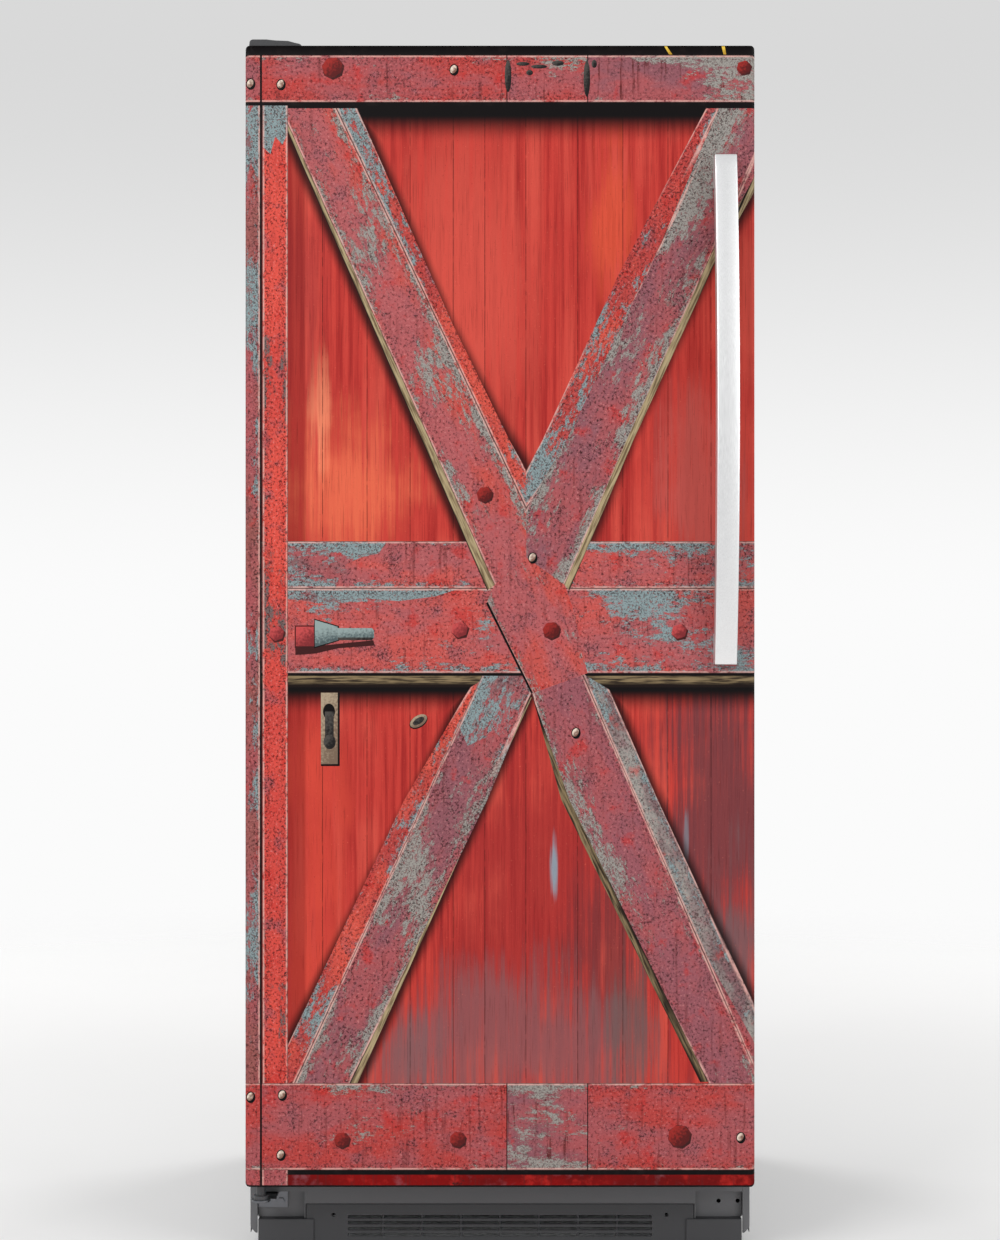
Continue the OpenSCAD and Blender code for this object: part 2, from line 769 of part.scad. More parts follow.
// Motor and the stand that holds it behind the condenser's fan
module condenser_fan_motor() {
    x0 = fan_x + 3;
    color("dimgray") {
        rod_x(fan_y, fan_z, 22, x0, x0 + 30);
        rod_x(fan_y, fan_z, 2.5, x0 - 14, x0);
        block([x0 + 10, fan_y - 20, deck_z], [x0 + 13, fan_y + 20, fan_z]);
        block([x0 + 4, fan_y - 30, deck_z], [x0 + 30, fan_y + 30, deck_z + 3]);
    }
}

// Both fan motors
module fan_motors() {
    evaporator_fan_motor();
    condenser_fan_motor();
}

// Fan between the compressor and the condenser
module condenser_fan() {
    color("white") translate([fan_x, fan_y, fan_z]) rotate([0, -90, 0])
        fan(fan_r, 16, 16, 6, 26, 2.5 + turn_gap);
}

// Copper lines and the filter drier
module refrigerant_tubes() {
    r = compressor_w / 2;
    y_run = machine_y + 9;
    high = machine_top - 24;
    last_z = coil_z0 + (coil_rows - 1) * row_pitch;
    coil_x = coil_x0 + 39;
    color("darkorange") {
        pipe([[tube_out[0], compressor_y - r * 0.7, tube_out[1]], [tube_out[0], y_run, tube_out[1]],
              [tube_out[0], y_run, high], [coil_x, y_run, high], [coil_x, y_run, last_z],
              [coil_x, coil_y0 - tube_r - turn_gap, last_z]], 3);
        pipe([[tube_in[0], compressor_y - r * 0.82, tube_in[1]], [tube_in[0], y_run, tube_in[1]],
              [tube_in[0], y_run, machine_top - sheet_t]], 3);
        rod_x(y_run, high, 7, coil_x0 + 70, coil_x0 + 170);
    }
}

// Rear cover with louvres and the power cord's gland
module machine_cover() {
    z0 = deck_z + 2;
    z1 = machine_top - sheet_t - 1;
    x = pan_x - pan_t - seat_gap;
    rows = floor((z1 - z0 - 60) / 22);
    gland = [half_w - 60, z0 + 30];
    color("gray") difference() {
        union() {
            wide(x, cab_back - 1.6, cab_back - 0.4, z0, z1);
            both_sides() block([x - 1.2, cab_back - 14, z0], [x, cab_back - 0.4, z1]);
            rod_y(gland[0], gland[1], 14, cab_back - 6, cab_back - 1);
        }
        for (i = [0 : rows - 1], side = [-1, 1], k = [0 : 2])
            translate([side * (70 + k * 80) - 33, cab_back - 3, z0 + 50 + i * 22]) cube([66, 4, 7]);
        rod_y(gland[0], gland[1], 6, cab_back - 7, cab_back + cut);
    }
}

// ---- Shelves and crispers ----

// Moulded rim that carries a pane
module shelf_frame(i) {
    z = shelf_zs[i];
    y1 = shelf_y0 + shelf_d;
    color("white") difference() {
        wide(shelf_x, shelf_y0, y1, z, z + shelf_t);
        wide(shelf_x - rim, shelf_y0 + rim, y1 - rim, z - cut, z + shelf_t + cut);
        wide(shelf_x - rim + 7, shelf_y0 + rim - 7, y1 - rim + 7, z + shelf_t - glass_t, z + shelf_t + cut);
    }
}

// Pane dropped into the rim
module shelf_glass(i) {
    z = shelf_zs[i] + shelf_t - glass_t;
    inset = rim - 7 + seat_gap;
    color("lightcyan")
        wide(shelf_x - inset, shelf_y0 + inset, shelf_y0 + shelf_d - inset, z, z + glass_t);
}

// Clear drawer: side is -1 for the left one and 1 for the right one
module crisper(side) {
    x0 = 2;
    w = cav_x - 5;
    y0 = shelf_y0 + 6;
    d = crisper_y1 - y0;
    color("lightblue") translate([side * (x0 + w / 2), y0 + d / 2, cav_floor]) {
        tray([w, d, crisper_h], 2.5, 10);
        translate([-w / 2 + 30, -d / 2 - 12, crisper_h - 4]) cube([w - 60, 14, 4]);
        translate([-w / 2 + 30, -d / 2 - 12, crisper_h - 16]) cube([w - 60, 2.5, 14]);
    }
}

// ---- Door ----

// Folded steel face and sides, with a return flange behind
module door_skin() {
    y1 = door_back - liner_t;
    color("silver") difference() {
        translate([0, 0, door_bottom + cap_h]) linear_extrude(door_h - 2 * cap_h) difference() {
            door_plan(0, y1);
            door_plan(-sheet_t, y1 - sheet_t);
            translate([14 - half_w, skin_front + edge_r]) square([cabinet_w - 28, door_t]);
        }
        stud_holes(stud_r + turn_gap);
    }
}

// Moulded tray that closes an end of the door: end is -1 at the bottom and 1 at the top
module door_cap(end) {
    y1 = door_back - liner_t;
    boss_r = bushing_r + 3;
    z0 = end > 0 ? door_top - cap_h : door_bottom;
    color("dimgray") difference() {
        union() {
            difference() {
                intersection() {
                    translate([0, 0, z0]) linear_extrude(cap_h) door_plan(0, y1);
                    door_outline(0);
                }
                translate([0, 0, end > 0 ? z0 - cap_t : z0 + cap_t]) linear_extrude(cap_h)
                    door_plan(-cap_t, y1 - cap_t);
            }
            rod_z(pin_x, pin_y, boss_r, z0, z0 + cap_h);
        }
        rod_z(pin_x, pin_y, bushing_r, end > 0 ? door_top - bushing_l : door_bottom - cut,
              end > 0 ? door_top + cut : door_bottom + bushing_l);
    }
}

// Nylon bushings in both caps
module door_bushings() {
    color("white") for (z = [door_bottom, door_top - bushing_l]) difference() {
        rod_z(pin_x, pin_y, bushing_r, z, z + bushing_l);
        rod_z(pin_x, pin_y, pin_r + turn_gap, z - cut, z + bushing_l + cut);
    }
}

// The frame of ribs inside the door, taken in by g on every side but the back
module rib_frame(g, y0) {
    difference() {
        wide(rib_x - g, y0, door_back + rib_d - g, rib_bottom + g, rib_top - g);
        wide(rib_x - rib_w + g, y0 - cut, door_back + rib_d, rib_bottom + rib_w - g, rib_top - rib_w + g);
    }
}

function bin_z(i) = rib_bottom + rib_w + 24 + i * bin_pitch;

// Formed inner face of the door, open behind the ribs
module door_liner() {
    color("white") difference() {
        wide(half_w - flange_in, door_back - liner_t, door_back, door_bottom + flange_in, door_top - flange_in);
        rib_frame(liner_t, door_back - 2 * liner_t);
    }
}

// Moulded frame of hollow ribs on the door liner, with the lugs that the bins stand on
module door_ribs() {
    color("white") {
        difference() {
            rib_frame(0, door_back);
            rib_frame(liner_t, door_back - cut);
        }
        for (i = [0 : bin_count - 1]) both_sides()
            translate([rib_x - rib_w - lug[0], door_back, bin_z(i) - lug[2]]) cube(lug);
    }
}

// Foam inside the door
module door_foam() {
    y1 = door_back - liner_t;
    color("lemonchiffon") difference() {
        union() {
            translate([0, 0, door_bottom + cap_h]) linear_extrude(door_h - 2 * cap_h)
                door_plan(-sheet_t, y1 - sheet_t);
            translate([0, 0, door_bottom + cap_t]) linear_extrude(door_h - 2 * cap_t)
                door_plan(-cap_t, y1 - cap_t);
            wide(half_w - 14, door_back - cap_t - liner_t - cut, y1, door_bottom + cap_h, door_top - cap_h);
            rib_frame(liner_t, y1);
        }
        for (z = [door_bottom, door_top - cap_h]) rod_z(pin_x, pin_y, bushing_r + 3, z, z + cap_h);
        stud_holes(stud_r + 3, 14);
    }
}

// Magnetic gasket: base strip, bellows and magnet bead
module door_gasket() {
    x = half_w - 26;
    low = door_bottom + 8;
    high = door_top - 8;
    color("gray") {
        gasket_ring(x, low, high, 16, 0, 4);
        gasket_ring(x - 4, low + 4, high - 4, 8, 4, 8);
        gasket_ring(x - 1, low + 1, high - 1, 14, 8, gasket_gap - seat_gap);
    }
}

// One layer of the gasket, from its outer edges, width and distance behind the door
module gasket_ring(x, low, high, w, y0, y1) {
    difference() {
        wide(x, door_back + y0, door_back + y1, low, high);
        wide(x - w, door_back + y0 - cut, door_back + y1 + cut, low + w, high - w);
    }
}

// Printed film, wrapped round the door's upright edges
module door_wrap() {
    wrap = 10;
    color("firebrick") difference() {
        intersection() {
            translate([0, 0, door_bottom]) linear_extrude(door_h) difference() {
                door_plan(film_t, skin_front + wrap);
                door_plan(0, skin_front + wrap + cut);
            }
            door_outline(film_t);
        }
        stud_holes(stud_r + 1);
    }
}

// Holes for the handle's studs through the door's face
module stud_holes(r, depth = 6) {
    for (z = [-stud_z, stud_z]) rod_y(handle_x, handle_z + z, r, door_front - cut, skin_front + depth);
}

// Four bins that stand on the lugs, counted from the bottom
module door_bin(i) {
    color("lightblue") translate([0, door_back + bin_gap + bin_d / 2, bin_z(i)])
        tray([2 * bin_x, bin_d, bin_h], bin_wall, 8);
}

// ---- Handle ----

// A bow between the handle's feet: everything behind an arc that stands y in front at its middle
module bow_space(y, r, w, z) {
    intersection() {
        rod_x(y + r, 0, r, -w / 2, w / 2, $fn = 200);
        wide(w / 2, y - cut, door_front + cut, -z, z);
    }
}

// Bowed bar: a channel with arcs for face and back, on two solid feet that stand on the film
module handle_bar() {
    face_y = door_front - handle_reach;
    span = handle_l / 2 - foot_h;
    color("gainsboro") difference() {
        translate([handle_x, 0, handle_z]) difference() {
            intersection() {
                wide(handle_w / 2, face_y, door_front, -handle_l / 2, handle_l / 2);
                rod_x(face_y + face_r, 0, face_r, -handle_w, handle_w, $fn = 200);
            }
            bow_space(face_y + handle_t, back_r, 2 * handle_w, span);
            bow_space(face_y + handle_wall, face_r - handle_wall, handle_w - 2 * handle_wall, span);
        }
        for (z = [-stud_z, stud_z])
            rod_y(handle_x, handle_z + z, stud_r + turn_gap, door_front - 12, door_front + cut);
    }
}

// Shoulder studs that hold the handle, with their nuts inside the door's face
module handle_studs() {
    color("silver") for (z = [-stud_z, stud_z]) {
        rod_y(handle_x, handle_z + z, stud_r, door_front - 11, skin_front + sheet_t);
        translate([handle_x, skin_front + sheet_t, handle_z + z]) rotate([-90, 0, 0])
            cylinder(r = stud_r + 2.5, h = 10, $fn = 6);
    }
}

// ---- Nodes ----

cabinet_shell();
back_panel();
bottom_plate();
cabinet_foam();
cabinet_liner();
base_pan();
front_rail();
toe_grille();
top_hinge_bracket();
top_hinge_cover();
bottom_hinge_bracket();
hinge_bolts();
hinge_riser();
roller_axles();
control_housing();
lamp_cover();
lamp();
evaporator_cover();
evaporator_coil();
fan_motors();
drain_tube();
compressor();
compressor_grommets();
drip_tray();
condenser();
refrigerant_tubes();
machine_cover();
shelf_frame(0);  // shelf_frame_1
shelf_frame(1);  // shelf_frame_2
shelf_frame(2);  // shelf_frame_3
shelf_frame(3);  // crisper_lid_frame
shelf_glass(0);  // shelf_glass_1
shelf_glass(1);  // shelf_glass_2
shelf_glass(2);  // shelf_glass_3
shelf_glass(3);  // crisper_lid_glass
crisper(-1);  // crisper_left
crisper(1);  // crisper_right
leg(-1);  // leg_left
leg(1);  // leg_right
roller(-1);  // roller_left
roller(1);  // roller_right
evaporator_fan();
condenser_fan();
temperature_knob();
switch_plunger();
door_skin();
door_foam();
door_liner();
door_ribs();
door_gasket();
door_cap(1);  // door_cap_top
door_cap(-1);  // door_cap_bottom
door_bushings();
door_wrap();
handle_bar();
handle_studs();
door_bin(0);  // door_bin_1
door_bin(1);  // door_bin_2
door_bin(2);  // door_bin_3
door_bin(3);  // door_bin_4
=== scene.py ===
"""Looks for the upright refrigerator with a printed door film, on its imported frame.

Metres, +Z up, the door faces -Y.
"""

import math

import bmesh
import bpy
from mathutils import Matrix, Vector


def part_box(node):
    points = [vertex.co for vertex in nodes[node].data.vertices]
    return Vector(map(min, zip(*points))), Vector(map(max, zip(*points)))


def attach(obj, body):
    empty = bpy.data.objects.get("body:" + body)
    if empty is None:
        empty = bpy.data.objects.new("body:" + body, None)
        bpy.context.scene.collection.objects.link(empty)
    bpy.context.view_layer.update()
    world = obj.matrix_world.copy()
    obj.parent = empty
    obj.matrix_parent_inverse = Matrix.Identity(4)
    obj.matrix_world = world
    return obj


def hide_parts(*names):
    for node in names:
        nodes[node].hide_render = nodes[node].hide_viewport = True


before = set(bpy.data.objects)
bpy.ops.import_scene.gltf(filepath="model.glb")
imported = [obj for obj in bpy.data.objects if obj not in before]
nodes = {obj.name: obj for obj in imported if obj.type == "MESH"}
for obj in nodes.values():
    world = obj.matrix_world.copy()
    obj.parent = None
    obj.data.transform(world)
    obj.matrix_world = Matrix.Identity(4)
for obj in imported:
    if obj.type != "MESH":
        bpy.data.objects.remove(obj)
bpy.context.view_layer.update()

# ---- Cabinet steel ----
# The wrapper, the back panel, the cross rail and the door's folded skin are pre-painted sheet steel in a
# charcoal grey. Roller-coated paint has a fine orange peel and a soft satin gloss.


def srgb(red, green, blue):
    """A colour from its three display values out of 255, as the shader wants it."""
    return tuple((v / 255 / 12.92 if v < 10.3 else ((v / 255 + 0.055) / 1.055) ** 2.4)
                 for v in (red, green, blue)) + (1.0,)


def add(tree, kind, inputs=None, **settings):
    """A shader node with its settings, and with values or other nodes' outputs in its inputs."""
    made = tree.nodes.new("ShaderNode" + kind)
    for key, value in settings.items():
        setattr(made, key, value)
    for key, value in (inputs or {}).items():
        if isinstance(value, bpy.types.NodeSocket):
            tree.links.new(value, made.inputs[key])
        else:
            made.inputs[key].default_value = value
    return made


def math_node(tree, operation, first, second=0.0, clamp=False):
    """One arithmetic step on two values or outputs."""
    return add(tree, "Math", {0: first, 1: second}, operation=operation, use_clamp=clamp).outputs[0]


def times(tree, first, second):
    """Two values or outputs multiplied."""
    return math_node(tree, "MULTIPLY", first, second)


def effect(name, inputs, outputs):
    """An empty shader group with named sockets: (group, its input node, its output node)."""
    group = bpy.data.node_groups.new(name, "ShaderNodeTree")
    for key, (kind, value) in inputs.items():
        socket = group.interface.new_socket(key, in_out="INPUT", socket_type="NodeSocket" + kind)
        if value is not None:
            socket.default_value = value
    for key, kind in outputs.items():
        group.interface.new_socket(key, in_out="OUTPUT", socket_type="NodeSocket" + kind)
    return group, group.nodes.new("NodeGroupInput"), group.nodes.new("NodeGroupOutput")


def place(tree, group, inputs):
    """The group in a material, with this material's values."""
    made = tree.nodes.new("ShaderNodeGroup")
    made.node_tree = group
    for key, value in inputs.items():
        if isinstance(value, bpy.types.NodeSocket):
            tree.links.new(value, made.inputs[key])
        else:
            made.inputs[key].default_value = value
    return made


def new_finish(name, **settings):
    """A material with a Principled shader: (material, its tree, the shader, the Object coordinates)."""
    material = bpy.data.materials.new(name)
    material.use_nodes = True
    tree = material.node_tree
    shader = tree.nodes["Principled BSDF"]
    for key, value in settings.items():
        shader.inputs[key.replace("_", " ")].default_value = value
    return material, tree, shader, add(tree, "TexCoord").outputs["Object"]


def dress(material, *names):
    """Gives a CAD node its finish."""
    for name in names:
        nodes[name].data.materials.clear()
        nodes[name].data.materials.append(material)


def soften(width, *names):
    """Rounds the sharp edges of CAD nodes a little, as real sheet and mouldings have them."""
    for name in names:
        weld = nodes[name].modifiers.new("weld", "WELD")
        weld.merge_threshold = 1e-5
        bevel = nodes[name].modifiers.new("edge", "BEVEL")
        bevel.width = width
        bevel.segments = 2
        bevel.limit_method = "ANGLE"
        bevel.angle_limit = math.radians(40)
        bevel.harden_normals = True


# Fine relief of a coated or moulded face, with slow changes of tone over it
grain, grain_in, grain_out = effect(
    "fine relief",
    {"Vector": ("Vector", None), "Tone": ("Color", (0.5, 0.5, 0.5, 1)), "Scale": ("Float", 900.0),
     "Variation": ("Float", 0.06), "Roughness": ("Float", 0.4), "Depth": ("Float", 1.0)},
    {"Color": "Color", "Roughness": "Float", "Height": "Float"})
grain_fine = add(grain, "TexNoise", {"Vector": grain_in.outputs["Vector"], "Scale": grain_in.outputs["Scale"],
                                     "Detail": 2.0})
grain_slow = add(grain, "TexNoise", {"Vector": grain_in.outputs["Vector"], "Scale": 5.0, "Detail": 3.0})
grain_shift = times(grain, math_node(grain, "SUBTRACT", grain_slow.outputs["Fac"], 0.5),
                        grain_in.outputs["Variation"])
grain_bright = add(grain, "HueSaturation", {"Color": grain_in.outputs["Tone"],
                                            "Value": math_node(grain, "ADD", grain_shift, 1.0)})
grain.links.new(grain_bright.outputs["Color"], grain_out.inputs["Color"])
grain.links.new(math_node(grain, "ADD", grain_in.outputs["Roughness"], grain_shift),
                grain_out.inputs["Roughness"])
grain.links.new(times(grain, grain_fine.outputs["Fac"], grain_in.outputs["Depth"]),
                grain_out.inputs["Height"])


def grained_finish(name, tone, roughness, scale=900.0, depth=1.0, variation=0.1, relief=0.0003, **settings):
    """A finish with fine relief: painted steel, moulded plastic, rubber."""
    material, tree, shader, place_3d = new_finish(name, **settings)
    group = place(tree, grain, {"Vector": place_3d, "Tone": tone, "Scale": scale, "Variation": variation,
                                "Roughness": roughness, "Depth": depth})
    bump = add(tree, "Bump", {"Height": group.outputs["Height"], "Distance": relief, "Strength": 0.5})
    tree.links.new(group.outputs["Color"], shader.inputs["Base Color"])
    tree.links.new(group.outputs["Roughness"], shader.inputs["Roughness"])
    tree.links.new(bump.outputs["Normal"], shader.inputs["Normal"])
    return material


charcoal = srgb(92, 92, 94)
cabinet_paint = grained_finish("charcoal_paint", charcoal, 0.46, scale=1400.0, relief=0.00012, Coat_Weight=0.1,
                               Coat_Roughness=0.35)
dress(cabinet_paint, "cabinet_shell", "back_panel", "front_rail", "door_skin")
soften(0.0012, "cabinet_shell", "back_panel")

# ---- Base and bottom plates ----
# Galvanised sheet steel, folded and left bare: the base pan with its roller ears, and the plate that closes
# the insulation from below. The zinc shows large dull spangles. The rollers' axles are zinc-plated too.


def fade(tree, value, start, end, low=0.0, high=1.0):
    """A smooth step from low at start to high at end."""
    ends = {"From Min": start, "From Max": end, "To Min": low, "To Max": high}
    return add(tree, "MapRange", {"Value": value, **ends}, interpolation_type="SMOOTHSTEP").outputs[0]


def blend_colour(tree, factor, first, second):
    """Two colours mixed by a mask."""
    colour_a, colour_b, colour_out = 6, 7, 2
    made = add(tree, "Mix", {"Factor": factor, colour_a: first, colour_b: second}, data_type="RGBA")
    return made.outputs[colour_out]


zinc, zinc_tree, zinc_shader, zinc_place = new_finish("galvanised_steel", Metallic=1.0)
spangle = add(zinc_tree, "TexVoronoi", {"Vector": zinc_place, "Scale": 70.0, "Randomness": 1.0})
spangle_tone = add(zinc_tree, "SeparateColor", {"Color": spangle.outputs["Color"]}).outputs["Red"]
zinc_tree.links.new(blend_colour(zinc_tree, spangle_tone, srgb(150, 153, 156), srgb(186, 190, 193)),
                    zinc_shader.inputs["Base Color"])
zinc_tree.links.new(fade(zinc_tree, spangle_tone, 0.0, 1.0, 0.32, 0.5), zinc_shader.inputs["Roughness"])
dress(zinc, "bottom_plate", "base_pan", "roller_axles")

# ---- Hinges ----
# Pressed plates of zinc-plated steel with their pins, held by hexagon bolts, and a dark nylon riser under
# the door. The plating is passivated to a dull grey.
plating = grained_finish("zinc_plating", srgb(112, 114, 118), 0.34, scale=500.0, relief=0.0001, Metallic=1.0)
dress(plating, "top_hinge_bracket", "bottom_hinge_bracket", "hinge_bolts", "handle_studs")
soften(0.0005, "top_hinge_bracket", "bottom_hinge_bracket")
nylon = grained_finish("nylon", srgb(66, 66, 68), 0.42, scale=300.0, relief=0.0001, Subsurface_Weight=0.05)
dress(nylon, "hinge_riser", "door_bushings")

# ---- Toe grille, hinge cover, end caps and rear cover ----
# Injection-moulded polypropylene in the cabinet's grey, with a fine spark-eroded texture that takes the
# shine off. The grille clips under the cross rail, and the caps close the door's ends.
grey_plastic = grained_finish("grey_moulding", srgb(54, 54, 56), 0.52, scale=2200.0, relief=0.0002)
dress(grey_plastic, "toe_grille", "top_hinge_cover", "door_cap_top", "door_cap_bottom", "machine_cover")
soften(0.0006, "top_hinge_cover", "door_cap_top", "door_cap_bottom")

# ---- Legs and rollers ----
# Black glass-filled nylon: the screwed levelling feet at the front and the rollers at the back.
black_nylon = grained_finish("black_nylon", srgb(34, 34, 36), 0.5, scale=700.0, relief=0.0002)
dress(black_nylon, "leg_left", "leg_right", "roller_left", "roller_right")
soften(0.0006, "roller_left", "roller_right")

# ---- Insulation ----
# Foamed-in-place polyurethane, pale yellow, with fine closed cells. Steel and liner hide it on all sides.
foam = grained_finish("polyurethane_foam", srgb(231, 214, 160), 0.9, scale=260.0, relief=0.001, variation=0.3)
dress(foam, "cabinet_foam", "door_foam")

# ---- Liners ----
# Vacuum-formed high-impact polystyrene in white: smooth, a little glossy, with a hint of unevenness where
# the hot sheet was drawn over the mould. The door's frame of ribs is moulded in the same white.
liner = grained_finish("liner_plastic", srgb(236, 238, 238), 0.26, scale=60.0, relief=0.0004, variation=0.03,
                       Coat_Weight=0.3, Coat_Roughness=0.12)
dress(liner, "cabinet_liner", "door_liner", "door_ribs")
soften(0.004, "cabinet_liner")

# ---- White mouldings inside ----
# The control housing, the duct panel over the evaporator, the shelf rims, fans and tray are injection
# moulded in a matt white plastic.
white_plastic = grained_finish("white_moulding", srgb(228, 230, 230), 0.45, scale=1500.0, relief=0.00015,
                               variation=0.04)
dress(white_plastic, "control_housing", "evaporator_cover", "shelf_frame_1", "shelf_frame_2", "shelf_frame_3",
      "crisper_lid_frame", "drip_tray", "drain_tube", "switch_plunger", "temperature_knob", "evaporator_fan",
      "condenser_fan")
soften(0.0012, "control_housing", "evaporator_cover", "shelf_frame_1", "shelf_frame_2", "shelf_frame_3",
       "crisper_lid_frame")

# ---- Shelf panes ----
# Tempered glass, slightly green, dropped into the white rims.
pane, pane_tree, pane_shader, pane_place = new_finish(
    "tempered_glass", Base_Color=srgb(232, 245, 240), Roughness=0.03, IOR=1.5, Transmission_Weight=0.8)
pane_smear = add(pane_tree, "TexNoise", {"Vector": pane_place, "Scale": 8.0, "Detail": 4.0})
pane_tree.links.new(fade(pane_tree, pane_smear.outputs["Fac"], 0.3, 0.8, 0.02, 0.09),
                    pane_shader.inputs["Roughness"])
dress(pane, "shelf_glass_1", "shelf_glass_2", "shelf_glass_3", "crisper_lid_glass")

# ---- Crispers and door bins ----
# Clear polystyrene boxes with a cold blue cast: two crispers that slide out under the lowest pane, and four
# bins that stand on the door liner's lugs.
clear, clear_tree, clear_shader, clear_place = new_finish(
    "clear_polystyrene", Base_Color=srgb(236, 244, 247), Roughness=0.08, IOR=1.45, Transmission_Weight=0.72)
clear_flow = add(clear_tree, "TexNoise", {"Vector": clear_place, "Scale": 14.0, "Detail": 3.0})
clear_tree.links.new(fade(clear_tree, clear_flow.outputs["Fac"], 0.3, 0.7, 0.05, 0.14),
                     clear_shader.inputs["Roughness"])
clear_boxes = ("door_bin_1", "door_bin_2", "door_bin_3", "door_bin_4", "crisper_left", "crisper_right")
dress(clear, "lamp_cover", *clear_boxes)
soften(0.0006, *clear_boxes)

# ---- Lamp ----
# A green circuit board with a row of small diodes, behind the clear cover in the ceiling control.
board = grained_finish("circuit_board", srgb(38, 104, 62), 0.35, scale=400.0, relief=0.0002)
dress(board, "lamp")

# ---- Evaporator ----
# Aluminium tube with pressed-on aluminium fins, dull from frost and thaw. The fans' motors stand behind
# their fans in black cases.
dull_aluminium = grained_finish("mill_aluminium", srgb(186, 190, 194), 0.42, scale=350.0, relief=0.0002,
                                Metallic=1.0)
dress(dull_aluminium, "evaporator_coil")
motor_black = grained_finish("motor_case", srgb(48, 49, 52), 0.4, scale=600.0, relief=0.0002)
dress(motor_black, "fan_motors")

# ---- Machine compartment ----
# The compressor's drawn steel can and the condenser's tubes and fins are sprayed black. The lines are bare
# copper, darkened by handling, and the compressor stands on rubber mounts.
can_black = grained_finish("sprayed_black", srgb(26, 26, 28), 0.33, scale=500.0, relief=0.0003, Coat_Weight=0.3)
dress(can_black, "compressor", "condenser")
soften(0.002, "compressor")
copper, copper_tree, copper_shader, copper_place = new_finish("copper_line", Metallic=1.0)
tarnish = add(copper_tree, "TexNoise", {"Vector": copper_place, "Scale": 25.0, "Detail": 5.0})
copper_tree.links.new(blend_colour(copper_tree, fade(copper_tree, tarnish.outputs["Fac"], 0.35, 0.7),
                                   srgb(196, 122, 84), srgb(120, 70, 52)), copper_shader.inputs["Base Color"])
copper_tree.links.new(fade(copper_tree, tarnish.outputs["Fac"], 0.3, 0.7, 0.22, 0.5),
                      copper_shader.inputs["Roughness"])
dress(copper, "refrigerant_tubes")
rubber = grained_finish("mount_rubber", srgb(30, 30, 30), 0.75, scale=400.0, relief=0.0003)
dress(rubber, "compressor_grommets")

# ---- Door gasket ----
# Soft grey vinyl extruded as a bellows, with a flat magnet bead that meets the cabinet's front.
gasket_vinyl = grained_finish("gasket_vinyl", srgb(112, 113, 116), 0.55, scale=800.0, relief=0.0002,
                              Sheen_Weight=0.15)
dress(gasket_vinyl, "door_gasket")
soften(0.001, "door_gasket")

# ---- Handle ----
# A long bowed channel of aluminium, brushed along its length and clear anodised, with rounded edges. Its
# solid feet stand on the film, over studs that come through the door's skin.
brushed, brushed_tree, brushed_shader, brushed_place = new_finish("brushed_anodised", Metallic=0.85)
brush_run = add(brushed_tree, "Mapping", {"Vector": brushed_place, "Scale": (1.0, 1.0, 0.012)})
brush_lines = add(brushed_tree, "TexNoise", {"Vector": brush_run.outputs["Vector"], "Scale": 2600.0,
                                             "Detail": 3.0}).outputs["Fac"]
brush_tone = blend_colour(brushed_tree, fade(brushed_tree, brush_lines, 0.3, 0.7), srgb(234, 234, 234),
                          srgb(248, 248, 248))
brushed_tree.links.new(brush_tone, brushed_shader.inputs["Base Color"])
brushed_tree.links.new(fade(brushed_tree, brush_lines, 0.3, 0.7, 0.34, 0.46),
                       brushed_shader.inputs["Roughness"])
brush_bump = add(brushed_tree, "Bump", {"Height": brush_lines, "Distance": 0.00005, "Strength": 0.4})
brushed_tree.links.new(brush_bump.outputs["Normal"], brushed_shader.inputs["Normal"])
handle_low, handle_high = (Vector(corner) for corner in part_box("handle_bar"))
handle_mid = (handle_low + handle_high) / 2
handle_half = (handle_high.z - handle_low.z) / 2
face_bow, back_bow = 0.041, 0.032
bar_deep, foot_tall, bar_wall, bar_round = 0.027, 0.046, 0.003, 0.0018
film_clearance = 1e-5


def bow(z, rise):
    """How far a bow's arc has fallen back at height z from its middle, from its rise over its length."""
    radius = (handle_half ** 2 + rise ** 2) / (2 * rise)
    return radius - math.sqrt(radius ** 2 - z ** 2)


bar = bmesh.new()
bow_steps = 40
face_line = [(handle_low.y + bow(z, face_bow), z)
             for z in (handle_half * (2 * k / bow_steps - 1) for k in range(bow_steps + 1))]
reach_in = handle_half - foot_tall
back_line = [(handle_low.y + bar_deep + bow(z, back_bow), z)
             for z in (reach_in * (1 - 2 * k / bow_steps) for k in range(bow_steps + 1))]
profile = face_line + [(handle_high.y, handle_half), (handle_high.y, reach_in)] + back_line + [
    (handle_high.y, -reach_in), (handle_high.y, -handle_half)]
bar_side = bar.faces.new([bar.verts.new((handle_low.x, y, handle_mid.z + z)) for y, z in profile])
grown = bmesh.ops.extrude_face_region(bar, geom=[bar_side])["geom"]
bmesh.ops.translate(bar, vec=(handle_high.x - handle_low.x, 0, 0),
                    verts=[item for item in grown if isinstance(item, bmesh.types.BMVert)])
bmesh.ops.recalc_face_normals(bar, faces=bar.faces)
channel = [face for face in bar.faces
           if face.normal.y > 0.5 and abs(face.calc_center_median().z - handle_mid.z) < reach_in]
bmesh.ops.inset_region(bar, faces=channel, thickness=bar_wall, use_even_offset=True)
for vert in {v for face in channel for v in face.verts}:
    vert.co.y = handle_low.y + bar_wall + bow(vert.co.z - handle_mid.z, face_bow)
for vert in [v for v in bar.verts if abs(v.co.y - handle_high.y) < 1e-6]:
    vert.co.y -= film_clearance
sharp = [edge for edge in bar.edges if len(edge.link_faces) == 2 and edge.calc_face_angle() > math.radians(35)
         and all(abs(abs(v.co.x - handle_mid.x) - (handle_high.x - handle_mid.x)) < 1e-5 for v in edge.verts)]
bmesh.ops.bevel(bar, geom=sharp, offset=bar_round, segments=3, profile=0.5, affect="EDGES", material=-1,
                clamp_overlap=True)
